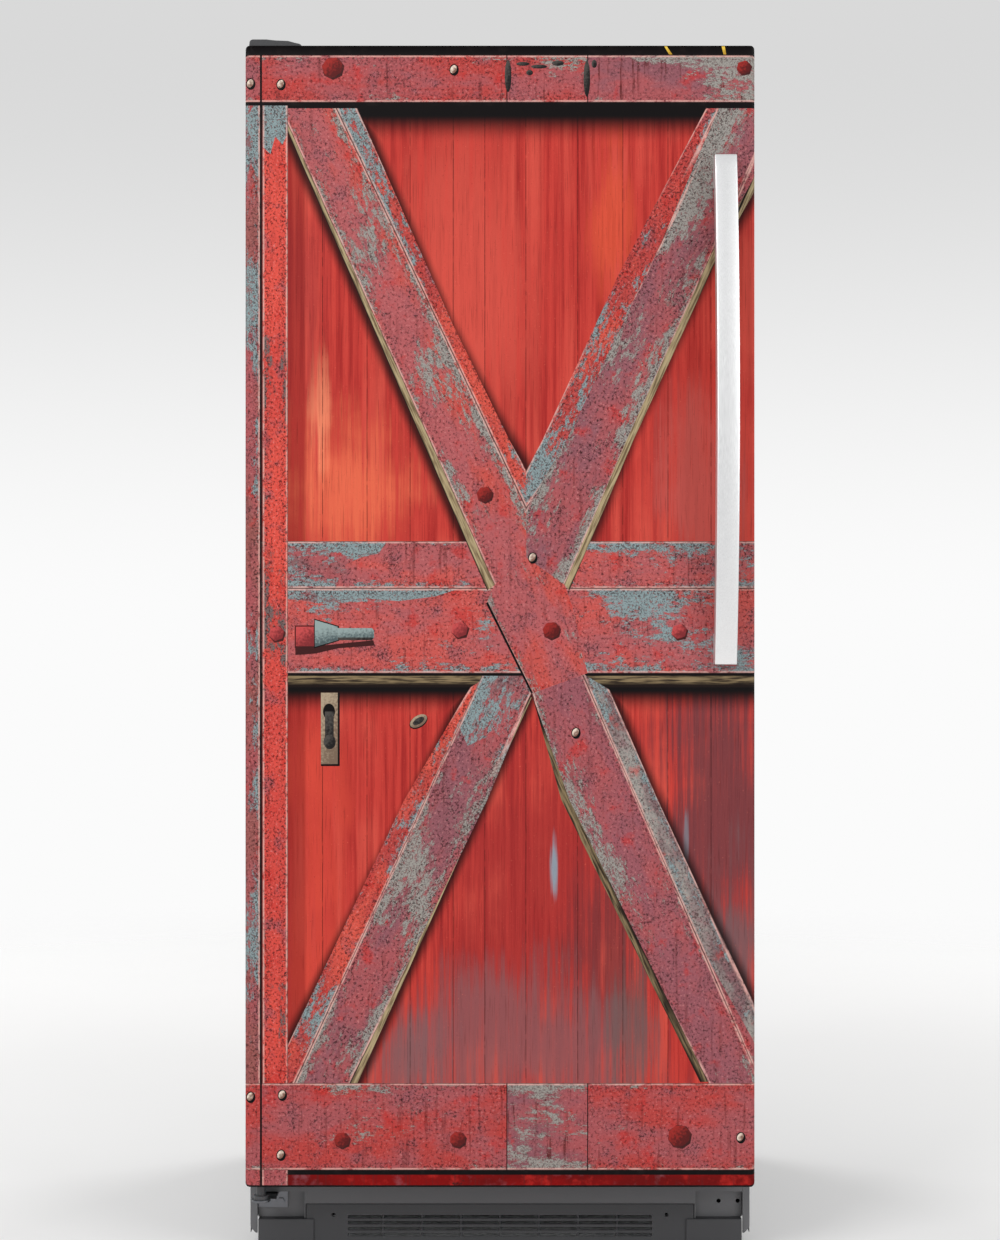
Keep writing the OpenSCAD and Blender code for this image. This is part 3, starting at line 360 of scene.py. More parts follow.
for face in bar.faces:
    face.smooth = True


def finished(name, shape, *finishes):
    """The object for a modelled shape, with its finishes in order."""
    mesh = bpy.data.meshes.new(name)
    shape.to_mesh(mesh)
    shape.free()
    for finish in finishes:
        mesh.materials.append(finish)
    made = bpy.data.objects.new(name, mesh)
    bpy.context.collection.objects.link(made)
    return made


handle_bow = finished("handle_bow", bar, brushed)
handle_bow.data.set_sharp_from_angle(angle=math.radians(38))
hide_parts("handle_bar")
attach(handle_bow, "door")

# ---- Printed door film ----
# A self-adhesive vinyl film, printed and matt laminated, that covers the door's face and turns round its
# upright edges. Its picture is a weathered plank door: a strip and a stile at the left, three rails and
# crossed braces over red planks. It is flat: the boards, their shadows and their bolts are only ink.
mm = 0.001
film_low, film_high = (Vector(corner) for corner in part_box("door_wrap"))
film_front = film_low.y
ink_lift = 0.1
door_foot = film_low.z
door_tall = film_high.z - film_low.z
door_half = film_high.x

# Inks
warm_red = srgb(188, 58, 50)
deep_red = srgb(154, 36, 34)
coral = srgb(206, 82, 68)
orange_red = srgb(224, 104, 74)
ash_red = srgb(104, 56, 60)
ash = srgb(116, 92, 94)
rosy = srgb(162, 82, 85)
lilac = srgb(138, 84, 92)
brick = srgb(176, 64, 60)
grey_chip = srgb(152, 148, 142)
teal_chip = srgb(134, 152, 154)
straw = srgb(172, 154, 118)
straw_dark = srgb(104, 86, 62)
ink_black = srgb(8, 4, 5)
pale_edge = srgb(220, 168, 158)


def film_finish(name):
    """The laminate over the print: its tree, shader, board coordinates, edge distances and door coordinates."""
    material, tree, shader, door_place = new_finish(name, Roughness=0.5, Specular_IOR_Level=0.12)
    along = add(tree, "UVMap", uv_map="board").outputs["UV"]
    edge = add(tree, "SeparateXYZ", {"Vector": add(tree, "UVMap", uv_map="edge").outputs["UV"]})
    return material, tree, shader, along, edge.outputs["X"], edge.outputs["Y"], door_place


# A painted board in print: broad fading from brick to rosy, a fine crackle of dark and light specks, clusters
# of grey chips that favour its edges, dark runs, and pale worn arrises with a dark line outside them
board_ink, bi, bo = effect(
    "printed board",
    {"Board": ("Vector", None), "Near Edge": ("Float", 1.0), "Far Edge": ("Float", 1.0),
     "Door": ("Vector", None), "Paint": ("Color", brick), "Faded": ("Color", rosy), "Chip": ("Color", grey_chip),
     "Chips": ("Float", 0.5), "Specks": ("Float", 0.5), "Runs": ("Float", 0.5)},
    {"Color": "Color"})
board_at = bi.outputs["Board"]
stretched = add(board_ink, "Mapping", {"Vector": board_at, "Scale": (0.45, 1.0, 1.0)}).outputs["Vector"]
broad = add(board_ink, "TexNoise", {"Vector": stretched, "Scale": 13.0, "Detail": 4.0,
                                    "Roughness": 0.62}).outputs["Fac"]
other_broad = add(board_ink, "TexNoise", {"Vector": board_at, "Scale": 23.0, "Detail": 4.0,
                                          "Roughness": 0.65}).outputs["Fac"]
speck = add(board_ink, "TexNoise", {"Vector": board_at, "Scale": 240.0, "Detail": 3.0,
                                    "Roughness": 0.7}).outputs["Fac"]
flake = add(board_ink, "TexNoise", {"Vector": stretched, "Scale": 95.0, "Detail": 10.0,
                                    "Roughness": 0.86}).outputs["Fac"]
pit = add(board_ink, "TexNoise", {"Vector": board_at, "Scale": 300.0, "Detail": 2.0,
                                  "Roughness": 0.6, "Distortion": 0.6}).outputs["Fac"]
cluster = add(board_ink, "TexNoise", {"Vector": stretched, "Scale": 12.0, "Detail": 3.0}).outputs["Fac"]
hanging = add(board_ink, "Mapping", {"Vector": bi.outputs["Door"], "Scale": (1.0, 1.0, 0.07)}).outputs["Vector"]
run = add(board_ink, "TexNoise", {"Vector": hanging, "Scale": 170.0, "Detail": 5.0}).outputs["Fac"]
nearest = math_node(board_ink, "MINIMUM", bi.outputs["Near Edge"], bi.outputs["Far Edge"])
edge_pull = fade(board_ink, nearest, 0.0, 24 * mm, 0.09, 0.0)
gather = times(board_ink, math_node(board_ink, "SUBTRACT", cluster, 0.5), 0.8)
chip_level = math_node(board_ink, "ADD", math_node(board_ink, "ADD", flake, edge_pull), gather)
chip_limit = math_node(board_ink, "SUBTRACT", 0.72, times(board_ink, bi.outputs["Chips"], 0.24))
chips = fade(board_ink, math_node(board_ink, "SUBTRACT", chip_level, chip_limit), 0.0, 0.008)
paint = blend_colour(board_ink, fade(board_ink, broad, 0.4, 0.58), bi.outputs["Paint"], bi.outputs["Faded"])
paint = blend_colour(board_ink, times(board_ink, fade(board_ink, other_broad, 0.52, 0.68), 0.55),
                     paint, lilac)
paint = blend_colour(board_ink, times(board_ink, fade(board_ink, other_broad, 0.46, 0.32), 0.6),
                     paint, srgb(186, 40, 34))
run_mask = times(board_ink, fade(board_ink, run, 0.56, 0.7), bi.outputs["Runs"])
paint = blend_colour(board_ink, run_mask, paint, srgb(84, 26, 26))
chip_shade = fade(board_ink, math_node(board_ink, "SUBTRACT", chip_level, chip_limit), -0.022, 0.0)
paint = blend_colour(board_ink, times(board_ink, chip_shade, 0.5), paint, srgb(84, 26, 28))
chip_tone = blend_colour(board_ink, fade(board_ink, speck, 0.36, 0.5), srgb(62, 52, 52), bi.outputs["Chip"])
paint = blend_colour(board_ink, chips, paint, chip_tone)
dark_specks = times(board_ink, fade(board_ink, speck, 0.56, 0.61), bi.outputs["Specks"])
paint = blend_colour(board_ink, dark_specks, paint, srgb(58, 18, 20))
light_specks = times(board_ink, fade(board_ink, speck, 0.42, 0.34), bi.outputs["Specks"])
paint = blend_colour(board_ink, times(board_ink, light_specks, 0.5), paint, srgb(216, 146, 142))
pitted = math_node(board_ink, "MAXIMUM", fade(board_ink, other_broad, 0.5, 0.62),
                   fade(board_ink, nearest, 20 * mm, 4 * mm))
pits = times(board_ink, fade(board_ink, pit, 0.53, 0.6), pitted)
paint = blend_colour(board_ink, times(board_ink, pits, bi.outputs["Specks"]), paint,
                     srgb(40, 16, 18))
worn = times(board_ink, fade(board_ink, nearest, 4.2 * mm, 1.6 * mm), fade(board_ink, flake, 0.42, 0.52))
paint = blend_colour(board_ink, times(board_ink, worn, 0.8), paint, pale_edge)
outline_mask = fade(board_ink, nearest, 1.3 * mm, 0.5 * mm)
paint = blend_colour(board_ink, times(board_ink, outline_mask, 0.8), paint, srgb(36, 12, 12))
board_ink.links.new(paint, bo.inputs["Color"])


def board_finish(name, paint, faded, chip, chips, specks, runs):
    """The print of one kind of board."""
    material, tree, shader, along, near_edge, far_edge, door_place = film_finish(name)
    group = place(tree, board_ink, {"Board": along, "Near Edge": near_edge, "Far Edge": far_edge,
                                    "Door": door_place, "Paint": paint, "Faded": faded, "Chip": chip,
                                    "Chips": chips, "Specks": specks, "Runs": runs})
    tree.links.new(group.outputs["Color"], shader.inputs["Base Color"])
    return material


rail_print = board_finish("printed_rail", brick, rosy, grey_chip, 0.28, 0.7, 0.45)
mid_print = board_finish("printed_mid_rail", srgb(190, 82, 76), srgb(168, 88, 90), teal_chip, 0.6, 0.75, 0.5)
brace_print = board_finish("printed_brace", srgb(188, 78, 70), srgb(170, 88, 90), grey_chip, 0.55, 0.7, 0.3)
low_brace_print = board_finish("printed_low_brace", rosy, srgb(146, 84, 92), grey_chip, 0.42, 0.7, 0.35)
chipped_print = board_finish("printed_chipped_brace", rosy, lilac, grey_chip, 0.66, 0.8, 0.35)
facet_print = board_finish("printed_facet", coral, brick, teal_chip, 0.45, 0.75, 0.3)
ash_facet_print = board_finish("printed_ash_facet", ash, grey_chip, teal_chip, 0.6, 0.7, 0.1)
foot_print = board_finish("printed_foot_board", srgb(124, 3, 3), srgb(100, 3, 3), ink_black, 0.2, 0.0, 0.5)
stile_print = board_finish("printed_stile", srgb(212, 78, 66), srgb(200, 70, 62), srgb(110, 98, 96), 0.2, 0.8,
                           0.2)
strip_print = board_finish("printed_left_strip", rosy, srgb(146, 84, 80), teal_chip, 0.5, 0.8, 0.3)
peeled_print = board_finish("printed_peeled_wood", ash, rosy, teal_chip, 0.9, 0.8, 0.3)
streaked_print = board_finish("printed_streaked_rail", rosy, lilac, grey_chip, 0.55, 0.5, 0.95)



def sawn_finish(name, light, dark, dark_line):
    """The straw-coloured sawn edge of a board, with a dark line where it meets the board's face."""
    material, tree, shader, along, near_edge, _, _ = film_finish(name)
    fibre_run = add(tree, "Mapping", {"Vector": along, "Scale": (0.08, 1.0, 1.0)}).outputs["Vector"]
    fibre = add(tree, "TexNoise", {"Vector": fibre_run, "Scale": 320.0, "Detail": 5.0}).outputs["Fac"]
    wood = blend_colour(tree, fade(tree, fibre, 0.35, 0.62), dark, light)
    line = fade(tree, near_edge, dark_line * mm, dark_line * mm / 3)
    tree.links.new(blend_colour(tree, line, wood, srgb(24, 14, 12)), shader.inputs["Base Color"])
    return material


edge_print = sawn_finish("printed_sawn_edge", straw, straw_dark, 2.4)
shaded_edge = sawn_finish("printed_shaded_edge", srgb(132, 114, 84), srgb(44, 34, 26), 9.0)

# Black ink: the band over the picture and the deep seams
black_print, black_tree, black_shader, black_along, _, _, _ = film_finish("printed_black")
black_noise = add(black_tree, "TexNoise", {"Vector": black_along, "Scale": 60.0, "Detail": 3.0}).outputs["Fac"]
black_tone = blend_colour(black_tree, fade(black_tree, black_noise, 0.5, 0.75), ink_black, srgb(20, 14, 14))
black_tree.links.new(black_tone, black_shader.inputs["Base Color"])

# Planks: fine upright grain in red, an orange patch where the sun bleached it, ash at the foot, thin dark
# joints, and the shadows that rails and braces throw
plank_print, pt, plank_shader, plank_along, plank_joint, plank_caster, plank_door = film_finish(
    "printed_planks")
grain_run = add(pt, "Mapping", {"Vector": plank_along, "Scale": (0.025, 1.0, 1.0)}).outputs["Vector"]
streak = add(pt, "TexNoise", {"Vector": grain_run, "Scale": 120.0, "Detail": 6.0,
                              "Roughness": 0.62}).outputs["Fac"]
soft_streak = add(pt, "TexNoise", {"Vector": grain_run, "Scale": 30.0, "Detail": 3.0}).outputs["Fac"]
hair = add(pt, "TexNoise", {"Vector": grain_run, "Scale": 700.0, "Detail": 2.0}).outputs["Fac"]
cloud = add(pt, "TexNoise", {"Vector": plank_door, "Scale": 6.0, "Detail": 4.0}).outputs["Fac"]
dust = add(pt, "TexNoise", {"Vector": plank_along, "Scale": 330.0, "Detail": 3.0,
                            "Roughness": 0.7}).outputs["Fac"]
door_parts = add(pt, "SeparateXYZ", {"Vector": plank_door})
plank_x = door_parts.outputs["X"]
height_up = math_node(pt, "SUBTRACT", door_parts.outputs["Z"], door_foot)


def door_patch(x, height, half_wide, half_tall):
    """A soft oval mask on the planks, from its middle and half sizes in millimetres."""
    moved = add(pt, "Mapping", {"Vector": plank_door, "Location": (x * mm, 0, door_foot + height * mm),
                                "Scale": (half_wide * mm, 1.0, half_tall * mm)}, vector_type="TEXTURE")
    flat = add(pt, "VectorMath", {0: moved.outputs["Vector"], 1: (1.0, 0.0, 1.0)},
               operation="MULTIPLY").outputs[0]
    reach = add(pt, "VectorMath", {0: flat}, operation="LENGTH").outputs["Value"]
    frayed = math_node(pt, "SUBTRACT", math_node(pt, "ADD", streak, cloud), 1.0)
    return fade(pt, math_node(pt, "ADD", reach, times(pt, frayed, 2.2)), 1.15, 0.25)


def patch_over(tone, x, height, half_wide, half_tall, strength, colour):
    """The planks' tone with a patch of another colour over it."""
    mask = times(pt, door_patch(x, height, half_wide, half_tall), strength)
    return blend_colour(pt, mask, tone, colour)


tone = blend_colour(pt, fade(pt, streak, 0.34, 0.6), deep_red, warm_red)
coral_streaks = times(pt, fade(pt, soft_streak, 0.45, 0.62), fade(pt, cloud, 0.4, 0.62, 0, 0.6))
tone = blend_colour(pt, coral_streaks, tone, coral)
for patch in (
        (-60, 1330, 130, 260, 0.6, srgb(208, 84, 70)),
        (165, 1440, 36, 150, 0.4, srgb(228, 96, 60)),
        (-270, 450, 60, 250, 0.6, srgb(214, 76, 58)),
        (-235, 1050, 100, 130, 0.85, orange_red),
        (-266, 1150, 20, 130, 0.55, srgb(244, 150, 112)),
        (40, 430, 150, 330, 0.6, srgb(146, 40, 40)),
        (330, 520, 130, 330, 0.85, ash_red),
        (350, 330, 60, 160, 0.6, ash),
        (170, 330, 80, 150, 0.75, srgb(112, 48, 50)),
        (-290, 1330, 46, 200, 0.5, srgb(158, 52, 50)),
        (300, 1010, 80, 170, 0.7, srgb(190, 88, 80)),
        (40, 190, 260, 130, 0.75, srgb(132, 84, 86)),
        (-150, 175, 70, 80, 0.55, ash),
        (200, 230, 45, 150, 0.55, srgb(96, 86, 84)),
        (80, 470, 6, 48, 0.8, srgb(128, 158, 170)),
        (276, 520, 4, 50, 0.5, srgb(120, 140, 150))):
    tone = patch_over(tone, *patch)
tone = blend_colour(pt, fade(pt, hair, 0.56, 0.72, 0, 0.35), tone, srgb(72, 12, 12))
tone = blend_colour(pt, fade(pt, dust, 0.62, 0.74, 0, 0.5), tone, srgb(60, 14, 14))
tone = blend_colour(pt, fade(pt, dust, 0.36, 0.26, 0, 0.4), tone, srgb(236, 128, 104))
broken = add(pt, "TexNoise", {"Vector": plank_along, "Scale": 60.0, "Detail": 3.0}).outputs["Fac"]
joint = times(pt, fade(pt, plank_joint, 1.3 * mm, 0.6 * mm), fade(pt, broken, 0.36, 0.5, 0.35, 1.0))
tone = blend_colour(pt, times(pt, joint, 0.85), tone, srgb(44, 8, 8))
beside = fade(pt, plank_x, -0.286, -0.292, 0.0, 0.45)
tone = blend_colour(pt, beside, tone, srgb(112, 16, 16))
cast = fade(pt, plank_caster, 18 * mm, 2 * mm, 0.0, 0.9)
under_top = fade(pt, height_up, 1.548, 1.592)
under_mid = times(pt, fade(pt, height_up, 0.700, 0.738), fade(pt, height_up, 0.80, 0.79))
shade = math_node(pt, "MAXIMUM", cast, math_node(pt, "MAXIMUM", under_top, under_mid))
pt.links.new(blend_colour(pt, shade, tone, ink_black), plank_shader.inputs["Base Color"])

# The picture's fields. Points are (to the right of the door's middle, up from its foot), in millimetres.
# Each field has two lines that its chips, worn arrises, joints and shadows keep to.
side = 400
door_mm = door_tall / mm
fields = []


def field(finish, outline, first_edge, second_edge=None, seed=0.0):
    """One field of the print. Later fields lie over earlier ones."""
    fields.append((finish, outline, first_edge, second_edge or first_edge, seed))


def level(h):
    """A level line, as two points on it."""
    return [(0, h), (9, h)]


def upright(x):
    """An upright line, as two points on it."""
    return [(x, 0), (x, 9)]


def rect(x0, x1, h0, h1):
    """The four corners of an upright field."""
    return [(x0, h0), (x1, h0), (x1, h1), (x0, h1)]


def column(outline, x0, x1):
    """The part of a convex outline between two upright lines."""
    for limit, keep in ((x0, 1), (x1, -1)):
        kept = []
        for (ax, ah), (bx, bh) in zip(outline, outline[1:] + outline[:1]):
            if keep * (ax - limit) >= 0:
                kept.append((ax, ah))
            if (ax - limit) * (bx - limit) < 0:
                kept.append((limit, ah + (bh - ah) * (limit - ax) / (bx - ax)))
        outline = kept
    return outline


# Planks between the boards, each panel with the line that throws its shadow
plank_joints = [-side, -264, -198, -134, -70, -23, 38, 115, 182, 249, 313, side]
panels = [
    ([(-side, 1700), (-330, 1700), (10, 910), (10, 823), (-side, 823)], [(-329, 1596), (-19, 886)]),
    ([(-330, 1700), (390, 1700), (65, 910), (10, 910)], [(-212, 1602), (39, 1064)]),
    ([(side, 1700), (390, 1700), (65, 910), (65, 823), (side, 823)], [(378, 1483), (103, 886)]),
    ([(-side, 823), (10, 823), (10, 750), (-340, 60), (-side, 60)], [(-45, 741), (-342, 154)]),
    ([(10, 823), (65, 823), (420, 60), (-340, 60), (10, 750)], [(44, 727), (-212, 154)]),
    ([(65, 823), (side, 823), (side, 100)], [(163, 738), (378, 267)]),
]
for number, (panel, caster) in enumerate(panels):
    for index, (x0, x1) in enumerate(zip(plank_joints, plank_joints[1:])):
        outline = column(panel, x0, x1)
        if len(outline) > 2:
            field(plank_print, outline, upright(x0), caster, index + 0.37 * number)

# Boards: middle rail, braces, bottom and top rails, stile
field(mid_print, rect(-side, side, 889, 959), level(889), level(959), 21)
field(mid_print, rect(-side, side, 763, 889), level(763), level(889), 22)
field(peeled_print, [(-315, 959), (-315, 889), (-244, 889), (-240, 903), (-226, 911), (-231, 924), (-206, 935),
                     (-180, 941), (-168, 959)], level(889), level(959), 47)
field(peeled_print, [(-315, 889), (-315, 873), (-262, 868), (-204, 874), (-150, 870), (-96, 877), (-60, 889)],
      level(889), seed=48)
field(black_print, rect(-side, side, 759, 763), level(759))
field(shaded_edge, rect(-side, side, 742, 759), level(742), level(759), 23)

field(edge_print, [(-331, 1602), (-326, 1602), (-8, 894), (-19, 886)], [(-331, 1602), (-19, 886)],
      [(-326, 1602), (-8, 894)], 24)
field(facet_print, [(-243, 1602), (-212, 1602), (-71, 1283), (14, 1109), (39, 1064), (39, 1008)],
      [(-243, 1602), (39, 1008)], [(-212, 1602), (39, 1064)], 25)
field(brace_print, [(-326, 1602), (-243, 1602), (39, 1008), (39, 931), (-8, 894)], [(-326, 1602), (-8, 894)],
      [(-243, 1602), (39, 1008)], 26)
field(edge_print, [(side, 1540), (side, 1518), (326, 1387), (198, 1109), (103, 886), (96, 894), (188, 1109),
                   (315, 1387)], [(326, 1387), (103, 886)], [(315, 1387), (96, 894)], 27)
field(facet_print, [(306, 1602), (325, 1602), (241, 1406), (99, 1109), (39, 1008), (39, 1064), (63, 1109),
                        (177, 1357)], [(318, 1589), (39, 1008)], [(299, 1589), (39, 1064)], 28)
field(chipped_print, [(325, 1602), (side, 1602), (side, 1540), (315, 1387), (188, 1109), (96, 894), (39, 931),
                      (39, 1008), (99, 1109), (241, 1406)], [(241, 1406), (39, 1008)], [(315, 1387), (96, 894)],
      29)

field(edge_print, [(47, 727), (44, 727), (-19, 575), (-223, 154), (-212, 154)], [(44, 727), (-223, 154)],
      [(47, 727), (-212, 154)], 30)
field(facet_print, [(-45, 741), (-142, 575), (-342, 154), (-305, 154), (-27, 753)], [(-27, 753), (-305, 154)],
      [(-45, 741), (-342, 154)], 31)
field(chipped_print, [(-27, 759), (39, 759), (47, 733), (44, 727), (-19, 575), (-223, 154), (-305, 154)],
      [(-27, 759), (-305, 154)], [(44, 727), (-223, 154)], 32)
field(peeled_print, [(-27, 759), (39, 759), (47, 733), (44, 727), (5, 634), (-24, 640), (-20, 668),
                     (-48, 655), (-61, 684)], [(-27, 759), (-305, 154)], [(44, 727), (-223, 154)], 49)
field(shaded_edge, [(47, 733), (91, 575), (297, 156), (310, 156), (103, 575)], [(47, 727), (299, 156)],
      [(47, 733), (310, 156)], 33)
field(ash_facet_print, [(122, 763), (163, 738), (234, 575), (315, 401), (side, 225), (side, 175), (299, 356),
                        (203, 575)], [(122, 763), (299, 356)], [(163, 738), (315, 401)], 34)
field(low_brace_print, [(39, 759), (122, 763), (203, 575), (299, 356), (side, 175), (side, 154), (310, 154),
                      (103, 575), (47, 733)], [(47, 733), (310, 154)], [(122, 763), (299, 356)], 51.3)

field(brace_print, [(-20, 867), (-8, 894), (39, 935), (96, 894), (108, 860), (130, 763), (47, 733)],
      [(-20, 867), (47, 733)], level(2000), 46)
field(black_print, [(-21, 867), (-18, 869), (49, 734), (46, 733)], [(-20, 867), (47, 733)])
field(stile_print, rect(-353, -315, 154, 1611), upright(-353), upright(-315), 43)
field(peeled_print, [(-353, 1611), (-315, 1611), (-315, 1566), (-323, 1548), (-334, 1560), (-341, 1534),
                     (-353, 1545)], upright(-353), upright(-315), 52)
field(strip_print, rect(-side, -356, 154, 1611), upright(-392), upright(-356), 44)
field(peeled_print, [(-side, 1611), (-356, 1611), (-356, 1493), (-370, 1520), (-381, 1478), (-side, 1500)],
      upright(-392), upright(-356), 53)
for h0, h1, seed in ((25, 154, 36), (1611, 1681, 39)):
    for x0, x1 in ((-side, -355), (-355, 10), (10, 130), (130, side)):
        seed += 0.7
        finish = streaked_print if (x0, h0) in ((130, 1611), (10, 25)) else rail_print
        field(finish, rect(x0, x1, h0, h1), level(h0), level(h1), seed)
        if x0 > 0:
            field(black_print, rect(x0 - 0.5, x0 + 1, h0, h1), upright(x0))
field(black_print, rect(-side, side, 1606, 1611), level(1606))
field(black_print, rect(-315, side, 18, 25), level(18))
field(foot_print, rect(-315, side, 2.5, 18), level(-20), level(40), 42)
field(rail_print, rect(-side, -315, 2.5, 25), upright(-353), upright(-315), 45)
field(black_print, rect(-side, side, 0, 2.5), level(0))
field(black_print, rect(-356.5, -353.5, 0, 1681), upright(-356))
field(black_print, rect(-side, side, 1681, 1696), level(1681))

# The film is laid out flat, cut along every field's outline, then wrapped round the door's upright edges
edge_mm = 4.5
turned_mm = 6
flat_half = door_half / mm - edge_mm
half_round = edge_mm * math.pi / 2
film_half = flat_half + half_round + turned_mm
corner_mm, corner_reach = 7, 40
film_thick = 0.4


def film_point(x, h, depth):
    """A point of the flat film on the door: x and h in millimetres, depth under the print's face."""
    lean = min(max((abs(x) - flat_half) / edge_mm, 0.0), math.pi / 2)
    side_run = max(abs(x) - flat_half - half_round, 0.0)
    out = min(abs(x), flat_half) + (edge_mm - depth) * math.sin(lean)
    back = edge_mm - (edge_mm - depth) * math.cos(lean) + side_run
    corner_run = min(max(out - (door_half / mm - corner_mm), 0.0), corner_mm)
    trim = corner_mm - math.sqrt(corner_mm ** 2 - corner_run ** 2)
    up = h + trim * max(1 - h / corner_reach, 0.0) - trim * max(1 - (door_mm - h) / corner_reach, 0.0)
    return Vector((math.copysign(out, x) * mm, film_front + (back + ink_lift) * mm, door_foot + up * mm))


def off_line(x, h, line):
    """How far a point is from the line through two points."""
    (ax, ah), (bx, bh) = line
    run, rise = bx - ax, bh - ah
    return abs((x - ax) * rise - (h - ah) * run) / math.hypot(run, rise)


def holds(outline, x, h):
    """True if the outline goes round the point."""
    odd = False
    for (ax, ah), (bx, bh) in zip(outline, outline[1:] + outline[:1]):
        if (ah > h) != (bh > h) and x < ax + (bx - ax) * (h - ah) / (bh - ah):
            odd = not odd
    return odd


film = bmesh.new()
base = [film.verts.new((x, h, 0.0)) for x, h in rect(-film_half, film_half, 0.0, door_mm)]
film.faces.new(base)
owner = film.faces.layers.int.new("field")


def cut_film(faces, point, direction):
    """Cuts these faces along the line through a point; gives all the faces there are now in their place."""
    around = {edge for face in faces for edge in face.edges} | {vert for face in faces for vert in face.verts}
    across = (-direction[1], direction[0], 0.0)
    made = bmesh.ops.bisect_plane(film, geom=list(faces) + list(around), dist=0.02, plane_co=(*point, 0.0),
                                  plane_no=across)
    return {item for item in made["geom"] if isinstance(item, bmesh.types.BMFace)}


for number, (_, outline, _, _, _) in enumerate(fields):
    x_low, x_high = min(x for x, _ in outline), max(x for x, _ in outline)
    h_low, h_high = min(h for _, h in outline), max(h for _, h in outline)
    near = {face for face in film.faces
            if max(v.co.x for v in face.verts) > x_low and min(v.co.x for v in face.verts) < x_high
            and max(v.co.y for v in face.verts) > h_low and min(v.co.y for v in face.verts) < h_high}
    for (ax, ah), (bx, bh) in zip(outline, outline[1:] + outline[:1]):
        near = cut_film(near, (ax, ah), (bx - ax, bh - ah))
    for face in near:
        middle = face.calc_center_median()
        if holds(outline, middle.x, middle.y):
            face[owner] = number
bend_lines = (flat_half - 4, flat_half - 1.5, *(flat_half + half_round * k / 5 for k in range(6)))
for bend in bend_lines:
    for x in (-bend, bend):
        cut_film(set(film.faces), (x, 0.0), (0.0, 1.0))
bmesh.ops.dissolve_degenerate(film, edges=film.edges, dist=0.03)
rim = [edge for edge in film.edges if edge.is_boundary]
rim_made = bmesh.ops.extrude_edge_only(film, edges=rim)["geom"]
for vert in rim_made:
    if isinstance(vert, bmesh.types.BMVert):
        vert.co.z = film_thick
for face in film.faces:
    if any(v.co.z > 0 for v in face.verts):
        inner = [other for edge in face.edges for other in edge.link_faces
                 if all(v.co.z == 0 for v in other.verts)]
        face[owner] = inner[0][owner]

finishes = []
board_uv = film.loops.layers.uv.new("board")
edge_uv = film.loops.layers.uv.new("edge")
for face in film.faces:
    finish, outline, first_edge, second_edge, seed = fields[face[owner]]
    if finish not in finishes:
        finishes.append(finish)
    face.material_index = finishes.index(finish)
    (ax, ah), (bx, bh) = first_edge
    length = math.hypot(bx - ax, bh - ah)
    ux, uh = (bx - ax) / length, (bh - ah) / length
    for loop in face.loops:
        x, h = loop.vert.co.x, loop.vert.co.y
        loop[board_uv].uv = ((x * ux + h * uh) * mm + 2.3 * seed, (h * ux - x * uh) * mm + 1.7 * seed)
        loop[edge_uv].uv = (off_line(x, h, first_edge) * mm, off_line(x, h, second_edge) * mm)
for vert in film.verts:
    vert.co = film_point(vert.co.x, vert.co.y, vert.co.z)
film.normal_update()
for face in film.faces:
    face.smooth = True
door_film = finished("door_film", film, *finishes)
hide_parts("door_wrap")
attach(door_film, "door")

# Printed ironwork: round bolt heads, pale studs, the latch, a keyhole plate and a tag, in ink of their own
fittings = bmesh.new()
disc_uv = fittings.loops.layers.uv.new("disc")
fitting_inks = []


def printed(outline, ink, lift=0.05, disc=None):
    """One small shape of ink over the print, from its outline in door millimetres."""
    if ink not in fitting_inks:
        fitting_inks.append(ink)
    corners = [fittings.verts.new((x * mm, film_front + (ink_lift - lift) * mm, door_foot + h * mm))
               for x, h in outline]
    face = fittings.faces.new(corners)
    face.normal_update()
    if face.normal.y > 0:
        face.normal_flip()
    face.material_index = fitting_inks.index(ink)
    middle_x, middle_h, wide, tall = disc or (outline[0][0], outline[0][1], 10.0, 10.0)
    for loop in face.loops:
        x, h = loop.vert.co.x / mm, (loop.vert.co.z - door_foot) / mm
        loop[disc_uv].uv = ((x - middle_x) / wide, (h - middle_h) / tall)


def oval(x, h, wide, tall=None, turn=0.0, count=20):
    """The outline of an oval from its middle and half sizes."""
    tall = tall or wide
    angles = [2 * math.pi * k / count for k in range(count)]
    ring = [(math.cos(angle) * wide, math.sin(angle) * tall) for angle in angles]
    c, n = math.cos(math.radians(turn)), math.sin(math.radians(turn))
    return [(x + a * c - b * n, h + a * n + b * c) for a, b in ring]


def head_finish(name, lit, shaded):
    """A bolt head in print, lit from the upper left."""
    material, tree, shader, door_place = new_finish(name, Roughness=0.42, Specular_IOR_Level=0.25)
    spot = add(tree, "SeparateXYZ", {"Vector": add(tree, "UVMap", uv_map="disc").outputs["UV"]})
    slope = math_node(tree, "SUBTRACT", spot.outputs["Y"], spot.outputs["X"])
    rough = add(tree, "TexNoise", {"Vector": door_place, "Scale": 260.0, "Detail": 3.0}).outputs["Fac"]
    light = math_node(tree, "ADD", slope, times(tree, math_node(tree, "SUBTRACT", rough, 0.5), 4.0))
    tree.links.new(blend_colour(tree, fade(tree, light, -0.9, 1.3), shaded, lit), shader.inputs["Base Color"])
    return material


